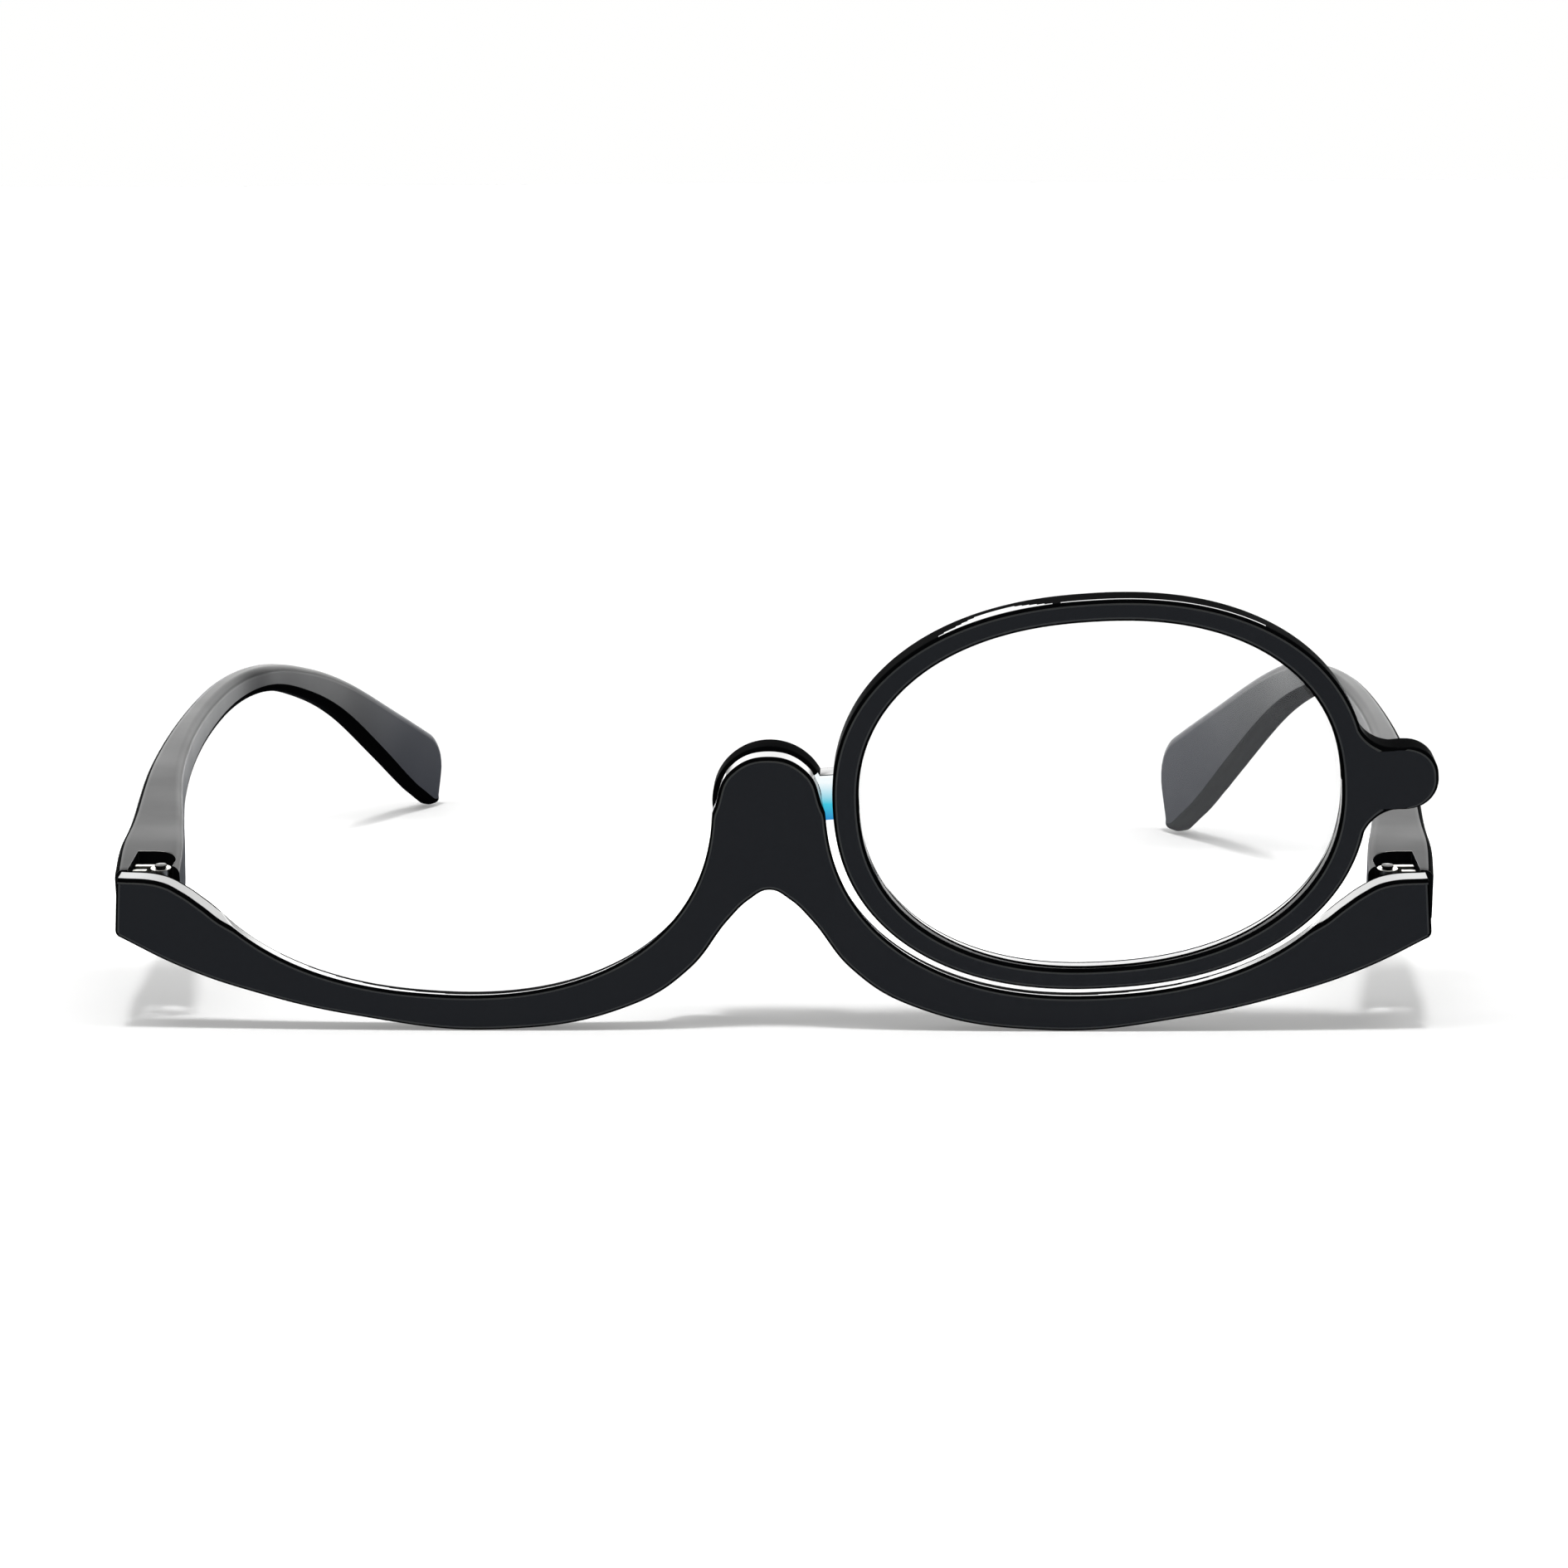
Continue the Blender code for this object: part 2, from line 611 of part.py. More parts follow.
def smooth_between(before, start, end, after, share):
    """A point on the Catmull-Rom curve from start to end."""
    values = []
    for a, b, c, d in zip(before, start, end, after):
        values.append(
            b + 0.5 * share * (c - a + share * (2 * a - 5 * b + 4 * c - d + share * (3 * (b - c) + d - a)))
        )
    return values


def temple_stations():
    """Stations along a temple from the butt to the tip, as in TEMPLE_STATIONS."""
    butt = (BUTT_Y - HINGE_Y, 0.0, BUTT_HEIGHT, BUTT_THICKNESS, BUTT_OUTSET)
    solid = POCKET_LENGTH + ANCHOR_LENGTH + TEMPLE_EDGE
    behind_pocket = (solid, 0.0, BUTT_HEIGHT, BUTT_THICKNESS, 2.5 * BUTT_OUTSET)
    tip = (TIP_REACH, -TIP_DROP, TIP_HEIGHT, TIP_THICKNESS, -TIP_INSET)
    knots = [butt, behind_pocket, *TEMPLE_STATIONS, tip]
    first = [2 * a - b for a, b in zip(knots[0], knots[1])]
    last = [2 * a - b for a, b in zip(knots[-1], knots[-2])]
    ends = [first, *knots, last]
    stations = []
    for i in range(1, len(ends) - 2):
        for step in range(TEMPLE_STEPS):
            stations.append(smooth_between(*ends[i - 1 : i + 3], step / TEMPLE_STEPS))
    return [*stations, list(tip)]


def section_ring(centre, along, height, thickness, side):
    """A rounded rectangle square to the temple's run."""
    upwards = (Vector((0, 0, 1)) - along * along.z).normalized()
    outwards = along.cross(upwards).normalized() * side
    corner = min(TEMPLE_EDGE, thickness * 0.45, height * 0.45)
    ring = []
    for quarter, (across, up) in enumerate(((1, 1), (-1, 1), (-1, -1), (1, -1))):
        for step in range(4):
            angle = (quarter + step / 3) * pi / 2
            x = across * (thickness / 2 - corner) + corner * cos(angle)
            z = up * (height / 2 - corner) + corner * sin(angle)
            ring.append(centre + outwards * x + upwards * z)
    return ring


def temple_rings(side):
    stations = temple_stations()
    centres = []
    for distance, rise, _, thickness, outset in stations:
        x = FRONT_HALF_WIDTH + outset - thickness / 2
        centres.append(Vector((side * x, HINGE_Y + distance, HINGE_Z + rise)))
    rings = []
    for i, (_, _, height, thickness, _) in enumerate(stations):
        if i == 0:
            along = Vector((0, 1, 0))
        elif i == len(stations) - 1:
            along = (centres[i] - centres[i - 1]).normalized()
        else:
            along = (centres[i + 1] - centres[i - 1]).normalized()
        rings.append(section_ring(centres[i], along, height, thickness, side))
    upwards = (Vector((0, 0, 1)) - along * along.z).normalized()
    for reach, top_cut, bottom_cut in tip_end():
        centre = centres[-1] + along * reach + upwards * (bottom_cut - top_cut) / 2
        height = TIP_HEIGHT - top_cut - bottom_cut
        rings.append(section_ring(centre, along, height, TIP_THICKNESS, side))
    return rings


def tip_end():
    """The slanted end from its upper corner to its heel: reach, and the cuts above and below."""
    slant = radians(TIP_SLANT)
    end = []
    for share in TIP_SHARES:
        turn = share * (pi / 2 - slant)
        end.append((TIP_CORNER * sin(turn), TIP_CORNER * (1 - cos(turn)), 0.0))
    reach, top_cut, _ = end[-1]
    last_cut = TIP_HEIGHT - TIP_HEEL * (1 + sin(slant))
    last_reach = reach + (last_cut - top_cut) * tan(slant)
    heel_reach = last_reach - TIP_HEEL * cos(slant)
    heel_cut = top_cut + (heel_reach - reach) / tan(slant)
    return [*end, (heel_reach, heel_cut, 0.0), (last_reach, last_cut, TIP_HEEL * (1 - sin(slant)))]


def pocket_outline(side, inner_wall):
    """The hinge pocket in plan: open to the front, with one round corner at the back."""
    front = FRONT_DEPTH - SIDE_GAP
    back = HINGE_Y + POCKET_LENGTH
    outer_wall = FRONT_HALF_WIDTH - POCKET_SKIN
    round_corner = arc((inner_wall + POCKET_CORNER, back - POCKET_CORNER), POCKET_CORNER, 180, 90)
    points = [(outer_wall, front), (inner_wall, front), *round_corner, (outer_wall, back)]
    return [(side * x, y) for x, y in points]


def make_temple(label, side):
    temple = loft(label + "_temple", temple_rings(side), BLACK)
    tall = (HINGE_Z - BUTT_HEIGHT, HINGE_Z + BUTT_HEIGHT)
    inner_wall = HINGE_X - KNUCKLE_RADIUS - SIDE_GAP
    combine(temple, flat_plate(label + "_hinge_pocket", [pocket_outline(side, inner_wall)], tall))
    # The inner wall stops short of the front, so that it clears the end piece when the temple folds.
    relief = sided_box(
        label + "_wall_relief",
        side,
        (HINGE_X - BUTT_THICKNESS, inner_wall + SIDE_GAP),
        (FRONT_DEPTH - SIDE_GAP, HINGE_Y - INNER_WALL_REACH),
        tall,
    )
    combine(temple, relief)
    combine(temple, temple_anchor(label + "_temple_anchor_slot", side, SEAT_GAP))
    return temple


def knuckle_levels():
    """The (low, high) heights of the three knuckles, from the lowest up."""
    low = HINGE_Z - HINGE_HEIGHT / 2
    step = KNUCKLE_HEIGHT + KNUCKLE_STEP
    return [(low + i * step, low + i * step + KNUCKLE_HEIGHT) for i in range(3)]


def hook_outline(side, direction):
    """A leaf in plan: a strip that curls round the pin. A direction of -1 takes it in front of the pin."""
    inner = KNUCKLE_RADIUS - LEAF_THICKNESS
    meets = asin(inner / KNUCKLE_RADIUS)
    points = [(LEAF_WIDTH, inner), (LEAF_WIDTH, KNUCKLE_RADIUS)]
    for step in range(SMALL_SIDES + 1):
        angle = pi / 2 + (3 * pi / 2 + meets) * step / SMALL_SIDES
        points.append((KNUCKLE_RADIUS * cos(angle), KNUCKLE_RADIUS * sin(angle)))
    return [(side * (HINGE_X + x), HINGE_Y + direction * y) for x, y in points]


def make_leaf(name, side, direction, notches, anchor):
    """A hinge leaf with its anchor, notched where the other leaf's knuckles go."""
    full = (HINGE_Z - HINGE_HEIGHT / 2, HINGE_Z + HINGE_HEIGHT / 2)
    leaf = flat_plate(name, [hook_outline(side, direction)], full, STEEL)
    reach = KNUCKLE_RADIUS + SIDE_GAP
    for level, notch in enumerate(notches):
        across = (HINGE_X - reach, HINGE_X + reach)
        along = (HINGE_Y - reach, HINGE_Y + reach)
        combine(leaf, sided_box(f"{name}_notch_{level}", side, across, along, notch))
    combine(leaf, anchor, "UNION")
    past = (full[0] - SIDE_GAP, full[1] + SIDE_GAP)
    axis = (side * HINGE_X, HINGE_Y)
    combine(leaf, upright_rod(name + "_bore", axis, HINGE_PIN_RADIUS + RUN_GAP, past, SMALL_SIDES))
    return leaf


def make_hinge(label, side):
    low, middle, high = knuckle_levels()
    ends = [(low[0] - SIDE_GAP, middle[0]), (middle[1], high[1] + SIDE_GAP)]
    anchor = front_anchor(label + "_front_anchor", side, 0.0)
    front_leaf = make_leaf(label + "_front_leaf", side, -1, ends, anchor)
    centre = [(low[1], high[0])]
    anchor = temple_anchor(label + "_temple_anchor", side, 0.0)
    temple_leaf = make_leaf(label + "_temple_leaf", side, 1, centre, anchor)
    head_low = high[1] + SEAT_GAP
    screw = turned(
        label + "_hinge_screw",
        [
            (0.0, head_low + HINGE_HEAD_HEIGHT),
            (HINGE_HEAD_RADIUS, head_low + HINGE_HEAD_HEIGHT),
            (HINGE_HEAD_RADIUS, head_low),
            (HINGE_PIN_RADIUS, head_low),
            (HINGE_PIN_RADIUS, low[0]),
            (0.0, low[0]),
        ],
        SMALL_SIDES,
        STEEL,
    )
    slips = []
    for place, level in (("lower", low), ("upper", middle)):
        rests_on = level[1] + SEAT_GAP
        profile = ring_profile(HINGE_PIN_RADIUS + RUN_GAP, SLIP_RADIUS, rests_on, rests_on + SLIP_THICKNESS)
        slips.append(turned(f"{label}_{place}_slip_washer", profile, SMALL_SIDES, NYLON))
    for piece in (screw, *slips):
        piece.location = (side * HINGE_X, HINGE_Y, 0.0)
    return front_leaf, temple_leaf, screw, slips


def rest_lean():
    """The angle that puts the front edges of the loops and the temple tips on one level floor."""
    loop_bottom = min(beside_nest(direction, width)[1] for direction, width in LOOP_WIDTHS)
    tip = [(point.y, point.z) for ring in temple_rings(1) for point in ring if point.y > TIP_REACH]
    low, high = 0.0, pi / 8
    for _ in range(LEAN_STEPS):
        lean = (low + high) / 2
        front = EDGE_RADIUS * sin(lean) + (loop_bottom + EDGE_RADIUS) * cos(lean) - EDGE_RADIUS
        back = min(y * sin(lean) + z * cos(lean) for y, z in tip)
        if back < front:
            low = lean
        else:
            high = lean
    return lean


def stand_on_floor(root):
    """Moves the whole object so that the origin is at the middle of its base."""
    bpy.context.view_layer.update()
    graph = bpy.context.evaluated_depsgraph_get()
    points = []
    for piece in parts.objects:
        if piece.type != "MESH":
            continue
        evaluated = piece.evaluated_get(graph)
        mesh = evaluated.to_mesh()
        points += [evaluated.matrix_world @ vertex.co for vertex in mesh.vertices]
        evaluated.to_mesh_clear()
    lows = [min(point[axis] for point in points) for axis in range(3)]
    highs = [max(point[axis] for point in points) for axis in range(3)]
    root.location = (-(lows[0] + highs[0]) / 2, -(lows[1] + highs[1]) / 2, -lows[2])


def main():
    root = empty("glasses", None, (0.0, 0.0, 0.0))
    swing = empty("lens_swing", root, (0.0, 0.0, 0.0), -radians(REST_TILT))
    attach(root, (0, 0, 0), make_front())
    for piece in (make_rim(), make_lens()):
        attach(swing, (RIM_REACH, 0, 0), piece)
        tilt_with_tools(piece)
    insert, washer, spring, screw = make_pivot()
    attach(root, (0, 0, 0), insert, washer, spring, screw)
    for label, side in (("left", -1), ("right", 1)):
        fold = empty(label + "_temple_fold", root, (side * HINGE_X, HINGE_Y, HINGE_Z))
        fold.rotation_euler.z = radians(RIGHT_TURN) if side > 0 else 0.0
        back = (-side * HINGE_X, -HINGE_Y, -HINGE_Z)
        front_leaf, temple_leaf, screw, slips = make_hinge(label, side)
        attach(root, (0, 0, 0), front_leaf, screw, *slips)
        attach(fold, back, make_temple(label, side), temple_leaf)
    root.rotation_euler.x = rest_lean()
    stand_on_floor(root)


def tilt_with_tools(piece):
    """Tilts a piece on the lens arm, with the cutters and additions that shape it."""
    piece.rotation_euler.y = -radians(OVAL_TILT)
    for modifier in piece.modifiers:
        if modifier.type == "BOOLEAN":
            tilt_with_tools(modifier.object)


main()
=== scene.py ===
"""The looks of swing-lens reading glasses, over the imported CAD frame, laid out as a Blender add-on.

Pieces are modelled upright in metres, as X to the right, Y back and Z up from the lens pivot, with the
front's face at Y = 0. Each is then leaned on to the floor with the frame that it belongs to.
"""

import json
from math import asin, atan2, cos, hypot, pi, radians, sin, tan
from types import SimpleNamespace

import bmesh
import bpy
from bpy.props import FloatProperty, FloatVectorProperty, PointerProperty
from mathutils import Matrix, Vector


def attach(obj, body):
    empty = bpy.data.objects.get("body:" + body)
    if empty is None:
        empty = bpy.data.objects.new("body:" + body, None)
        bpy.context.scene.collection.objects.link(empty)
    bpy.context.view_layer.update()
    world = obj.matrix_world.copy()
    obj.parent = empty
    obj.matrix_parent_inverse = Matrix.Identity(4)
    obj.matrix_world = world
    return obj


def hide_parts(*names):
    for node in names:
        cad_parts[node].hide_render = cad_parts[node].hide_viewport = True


bl_info = {
    "name": "Swing-lens glasses",
    "version": (1, 0, 0),
    "blender": (4, 5, 0),
    "location": "View3D > Sidebar > Glasses",
    "description": "Models the visible pieces of swing-lens reading glasses on their CAD frame",
    "category": "Add Mesh",
}

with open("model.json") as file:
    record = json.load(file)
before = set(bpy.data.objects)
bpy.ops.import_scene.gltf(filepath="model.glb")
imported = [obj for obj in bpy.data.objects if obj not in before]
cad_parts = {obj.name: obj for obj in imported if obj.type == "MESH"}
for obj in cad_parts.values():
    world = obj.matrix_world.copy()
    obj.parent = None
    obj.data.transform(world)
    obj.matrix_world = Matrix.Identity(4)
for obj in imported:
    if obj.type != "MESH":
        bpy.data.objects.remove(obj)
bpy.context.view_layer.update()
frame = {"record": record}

# The frame leans on its temple tips: the pivot's place and axis say how far.
JOINTS = {joint["name"]: joint for joint in frame["record"]["behaviour"]["joints"]}
PIVOT = Vector(JOINTS["lens_swing"]["pos_m"])
PIVOT_AXIS = Vector(JOINTS["lens_swing"]["axis"])
LEAN = atan2(-PIVOT_AXIS.z, -PIVOT_AXIS.y)
STAND = Matrix.Translation(PIVOT) @ Matrix.Rotation(LEAN, 4, "X")

# Directions round the lens centre, in degrees from +X, each with a distance outside the nest
LOOP_WIDTHS = (
    (204, 0.0050),
    (216, 0.0052),
    (229, 0.0051),
    (258, 0.0041),
    (292, 0.0037),
    (314, 0.0052),
    (326, 0.0075),
)
END_RUN_DOWN = ((339, 0.0017), (335, 0.0009), (329, 0.0003), (318, -0.0012))

# Distance behind the hinge axis, rise above it, height, thickness, and how far the outer face stands beyond
# the front's end
TEMPLE_STATIONS = (
    (0.0180, -0.0003, 0.0058, 0.0058, 0.0028),
    (0.0380, 0.0002, 0.0049, 0.0041, 0.0045),
    (0.0580, 0.0003, 0.0043, 0.0030, 0.0047),
    (0.0760, 0.0001, 0.0037, 0.0028, 0.0034),
    (0.0870, -0.0008, 0.0034, 0.0028, 0.0003),
    (0.0980, -0.0046, 0.0040, 0.0028, -0.0030),
    (0.1090, -0.0102, 0.0051, 0.0028, -0.0063),
    (0.1200, -0.0183, 0.0071, 0.0028, -0.0105),
)

# Clearances, as the CAD has them
SEAT_GAP = 0.00015
RUN_GAP = 0.00008
SIDE_GAP = 0.0003

# Smoothness
CURVE_STEPS = 24
OVAL_POINTS = 240
ROUND_STEPS = 64
LENS_RINGS = 24
TEMPLE_STEPS = 8
CORNER_STEPS = 7
SHARP_ANGLE = radians(35)
SLIVER = 0.00002

# Places of the looks on a plastic piece: painted shade, a painted highlight line, and a painted glint or
# highlight
PAINTED_SHADE_LOOK = 1
PAINTED_HIGHLIGHT_LOOK = 2
PAINTED_GLINT_LOOK = 3
PLATE_HIGHLIGHT_LOOK = 3

# How far the painted highlight line at the inside of a rounded edge turns from the face
LINE_TILT = radians(17)

# Parts of a face's normal: along Y, less than this is a wall, and along Z, more than this looks up
STEEP = 0.5
UPWARD = 0.1

# Where the polish on the walls stops and the painted shade starts, as shares of the depth: in the open,
# half way, where the other part shades it, and at the nearest to the rounded edge
OPEN_LINE = 0.78
HALF_LINE = 0.55
SHADED_LINE = 0.30
THIN_LINE = 0.20
WALL_STEPS = 8

# The end runs are in the open from this share of the rim's half width, out from the lens centre
OPEN_RUN = 0.7

# The white stretch and the thin line on the rim's upper wall, polished in its painted shade: where each end
# starts and is full, as shares of the opening's half width from its centre
WHITE_LEFT = (-0.70, -0.45)
WHITE_RIGHT = (-0.10, -0.30)
THIN_LEFT = (-0.15, -0.10)
THIN_RIGHT = (0.80, 0.70)

# Heights, from the pivot, between which the arm's painted glint runs from white to blue
GLINT_TOP = 0.0026
GLINT_BOTTOM = -0.0022

# Along Y: where the temples' satin comes to its full gloss from the hinge, with its IOR at both ends, and
# where the tips' painted light starts and is full
SATIN_RUN = (-0.06, 0.01)
SATIN_IOR = (1.13, 1.22)
TIP_LIGHT_RUN = (0.042, 0.066)

# Shares: a temple's corner in its width at most, its outset behind the pocket in the butt's, a screw's slot
# in the head's radius and depth, and the nose pads' sinking into the front's back in its edge radius
FULLEST_CORNER = 0.45
POCKET_OUTSET = 2.5
SLOT_HALF_WIDTH = 1 / 7
SLOT_DEPTH = 0.55
PAD_SINK = 1 / 3

# Where most of a noise texture's values lie
NOISE_RANGE = (0.3, 0.7)

# How a value eases from one end of a range to the other
SOFT = {"interpolation_type": "SMOOTHSTEP"}

# The room as the glasses' gloss sees it: where the white backdrop starts and is full towards the back, the
# bright window in it, and the light overhead, in parts of a unit vector unless they are angles
BACKDROP_EDGE = (0.45, 0.80)
WINDOW_EDGE = (0.60, 0.80)
WINDOW_LOW = radians(6)
WINDOW_HIGH = radians(34)
WINDOW_SOFT = radians(5)
OVERHEAD_EDGE = (0.65, 0.85)
WINDOW_LIGHT = 4.4
OVERHEAD_LIGHT = 2.2
DIM_LIGHT = 0.03

# The room's light on everything that doesn't mirror it
ROOM_LIGHT = 0.3

# The overhead strip of light: tilts of its lamps to the sides, lean to the front, and the width of each lamp
STRIP_TILTS = [radians(tilt) for tilt in (-27, -18, -9, 0, 9, 18, 27)]
STRIP_LEAN = radians(16)
STRIP_WIDTH = radians(11)
STRIP_LIGHT = 1.15

# The lamp in the middle of the strip, which draws the sharp part of the shadow
KEY_WIDTH = radians(7)
KEY_LIGHT = 1.3

# The floor's own light to the camera, and the further light that washes out the shadow between the temples,
# with the places along Y where that starts and is full, from the front and from the back
FLOOR_LIFT = 0.24
WASH_LIFT = 0.6
WASH_FRONT = (-0.038, -0.018)
WASH_BACK = (0.062, 0.045)

# The floor behind the glasses as their gloss sees it: its light, and where along Y that starts and is full
GLOW_LIGHT = 5.5
GLOW_EDGE = (0.06, 0.22)


def length(name, default, description):
    return FloatProperty(name=name, description=description, default=default, unit="LENGTH", precision=5)


def angle(name, default, description):
    return FloatProperty(name=name, description=description, default=radians(default), subtype="ANGLE")


def tint(name, code, description):
    return FloatVectorProperty(name=name, description=description, default=linear(code), subtype="COLOR")


def linear(code):
    """Linear colour from an sRGB hex code."""
    channels = [int(code[i : i + 2], 16) / 255 for i in (1, 3, 5)]
    return [c / 12.92 if c <= 0.04045 else ((c + 0.055) / 1.055) ** 2.4 for c in channels]


class FrontSizes(bpy.types.PropertyGroup):
    depth: length("Depth", 0.0032, "Front face to back face")
    edge: length("Edge radius", 0.0005, "Rounding of the moulded edges")
    tongue_radius: length("Tongue radius", 0.00585, "Round top of the bridge tongue")
    tongue_depth: length("Tongue depth", 0.0024, "Plastic left in front of the hub")
    arch_drop: length("Arch drop", 0.0089, "Pivot down to the top of the nose arch")
    arch_half_width: length("Arch half width", 0.0021, "Half width of the arch's round top")
    nest_gap: length("Nest gap", 0.0007, "Gap round the lens rim, at the front")
    nest_draft: length("Nest draft", 0.0006, "Further gap at the back")
    end_length: length("End length", 0.0067, "End piece beyond the lens rim")
    end_top_drop: length("End top drop", 0.0076, "Pivot down to the end piece's top")
    end_height: length("End height", 0.0064, "Height of the end piece")
    end_flare: length("End flare", 0.0005, "End piece's lower corner beyond its upper one")
    end_level: length("End level length", 0.0048, "Nearly level top of the end piece")
    pad_length: length("Pad length", 0.0104, "Nose pad, along the side of the nose")
    pad_width: length("Pad width", 0.0042, "Nose pad, across")
    pad_depth: length("Pad depth", 0.0056, "Nose pad, front to back")
    pad_inset: length("Pad inset", 0.0009, "Pad outside the nest")
    pad_direction: angle("Pad direction", 211, "Place of the pad round the lens centre")
    pad_lean: angle("Pad lean", 33, "Lean of the pad with the side of the nose")


class RimSizes(bpy.types.PropertyGroup):
    opening_half_width: length("Opening half width", 0.02533, "Half width of the lens opening")
    opening_half_height: length("Opening half height", 0.01908, "Half height of the lens opening")
    exponent: FloatProperty(name="Oval exponent", description="2 is an ellipse, more is boxier", default=2.25)
    side: length("Side width", 0.0028, "Rim width at the ends of the oval")
    top: length("Top width", 0.0023, "Rim width at the top and the bottom")
    depth: length("Depth", 0.0040, "Front face to back face")
    edge: length("Edge radius", 0.0005, "Rounding of the moulded edges")
    tongue_gap: length("Tongue gap", 0.0009, "Gap between the tongue and the rim")
    rest_tilt: angle("Rest tilt", 2.3, "Tilt of the arm at rest")
    oval_tilt: angle("Oval tilt", 1.5, "Tilt of the oval on its arm")
    tab_length: length("Tab length", 0.0073, "Finger tab beyond the rim")
    tab_height: length("Tab height", 0.0067, "Height of the finger tab")
    tab_fillet: length("Tab fillet", 0.0042, "Fillet between the tab and the rim")
    tab_flare: angle("Tab flare", 27, "Direction in which the fillet leaves the rim")
    tab_corner: length("Tab corner", 0.0031, "Corner radius of the tab's end")
    arm_height: length("Arm height", 0.0050, "Arm between the hub and the rim")
    hub_radius: length("Hub radius", 0.0061, "Hub behind the tongue")
    hub_depth: length("Hub depth", 0.0034, "Hub, front to back")
    front_curve: length("Lens front radius", 0.1150, "Radius of the lens's front")
    back_curve: length("Lens back radius", 0.2130, "Radius of the lens's back")
    lens_edge: length("Lens edge", 0.0012, "Lens thickness at the ends of the oval")
    lens_setback: length("Lens setback", 0.0025, "Rim face to the middle of that edge")
    groove: length("Groove depth", 0.0009, "Groove that holds the lens")
    wedge: angle("Lens wedge", 1.9, "Lean of the lens's back, which makes it thicker at the top")


class PivotSizes(bpy.types.PropertyGroup):
    washer_radius: length("Washer radius", 0.0044, "Nylon washer between the tongue and the hub")
    washer_depth: length("Washer depth", 0.0004, "Thickness of that washer")
    insert_radius: length("Bush radius", 0.0019, "Brass bush in the tongue")
    insert_depth: length("Bush depth", 0.0015, "Length of the bush")
    pin_radius: length("Pin radius", 0.0009, "Pivot screw's shank")
    head_radius: length("Head radius", 0.0024, "Pivot screw's head")
    head_depth: length("Head depth", 0.0008, "Thickness of the head")
    spring_depth: length("Spring washer depth", 0.0004, "Thickness of the spring washer")


class TempleSizes(bpy.types.PropertyGroup):
    butt_height: length("Butt height", 0.0062, "Height at the hinge")
    butt_thickness: length("Butt thickness", 0.0069, "Thickness at the hinge")
    butt_outset: length("Butt outset", 0.0008, "Outer face beyond the front's end")
    tip_reach: length("Tip reach", 0.1271, "Hinge axis to the start of the slanted end")
    tip_drop: length("Tip drop", 0.02438, "Hinge axis down to the tip")
    tip_height: length("Tip height", 0.0087, "Height of the tip")
    tip_thickness: length("Tip thickness", 0.0027, "Thickness of the tip")
    tip_corner: length("Tip corner", 0.0052, "Corner radius at the upper end of the slant")
    tip_heel: length("Tip heel", 0.0013, "Radius of the corner that stands on the floor")
    tip_slant: angle("Tip slant", 22, "Slant of the end, from square")
    right_turn: angle("Right turn", 1.4, "Right temple at rest, from square")
    tip_inset: length("Tip inset", 0.0140, "Tip's outer face, in from the front's end")
    edge: length("Edge radius", 0.0010, "Rounding along the temple")


class HingeSizes(bpy.types.PropertyGroup):
    inset: length("Inset", 0.0038, "Axis, in from the front's end")
    setback: length("Setback", 0.0025, "Axis, behind the front's back face")
    height: length("Height", 0.0052, "Three knuckles and the washers between them")
    knuckle_radius: length("Knuckle radius", 0.0011, "Outside of the curl")
    leaf: length("Leaf thickness", 0.0006, "Sheet that the leaves are rolled from")
    anchor_length: length("Anchor length", 0.0021, "Anchor in the plastic")
    anchor_thickness: length("Anchor thickness", 0.0010, "Thickness of that anchor")
    pin_radius: length("Pin radius", 0.0005, "Hinge screw's shank")
    head_radius: length("Head radius", 0.00065, "Hinge screw's head")
    head_height: length("Head height", 0.0002, "Height of the head")
    slip_radius: length("Slip washer radius", 0.0010, "Nylon washers between the knuckles")
    slip_thickness: length("Slip washer thickness", 0.0002, "Thickness of those washers")
    pocket_skin: length("Pocket skin", 0.0006, "Pocket's outer side, in from the front's end")
    pocket_length: length("Pocket length", 0.0041, "Axis to the pocket's back wall")
    pocket_corner: length("Pocket corner", 0.0030, "Between the back wall and the inner wall")
    pocket_edge: length("Pocket edge", 0.0003, "Rounding of the pocket's edges")
    wall_reach: length("Inner wall reach", 0.0008, "Inner wall in front of the axis")


class Finishes(bpy.types.PropertyGroup):
    plastic: tint("Plastic", "#08090c", "Black moulded plastic")
    # Painted highlight: a lighter plastic along the inside of each rounded edge
    edge_highlight: tint("Edge highlight", "#2b2d30", "Plastic painted lighter as the edges' highlight")
    # Painted light: a lighter plastic on the tips stands in for the light on them
    painted_tip_light: tint("Tip light", "#404249", "Plastic painted lighter at the tips, for the light on them")
    oxide: tint("Oxide", "#1c1b1a", "Blackened heads of the hinge screws")
    lens: tint("Lens", "#ffffff", "Clear resin")
    steel: tint("Steel", "#c9c8c2", "Nickel plate on the hinges and screws")
    brass: tint("Brass", "#c9a55c", "Bush of the pivot")
    nylon: tint("Nylon", "#dcdacd", "Natural nylon washers")
    floor: tint("Floor", "#e8e8e8", "Pale floor, before the light that lifts it to white")


class StageSettings(bpy.types.PropertyGroup):
    camera_x: length("Camera X", 0.01545, "Camera to the right of the glasses' middle")
    camera_y: length("Camera Y", -0.47806, "Camera in front of the glasses' middle")
    camera_z: length("Camera Z", 0.0990, "Camera above the floor")
    pitch: angle("Camera pitch", 9.914, "Camera's look down")
    yaw: angle("Camera yaw", 1.85, "Camera's turn to the left")
    roll: angle("Camera roll", -0.341, "Camera's roll")
    focal: FloatProperty(name="Focal length", description="Lens of the camera, in mm", default=90.65)
    floor_size: length("Floor size", 8.0, "Side of the square floor")


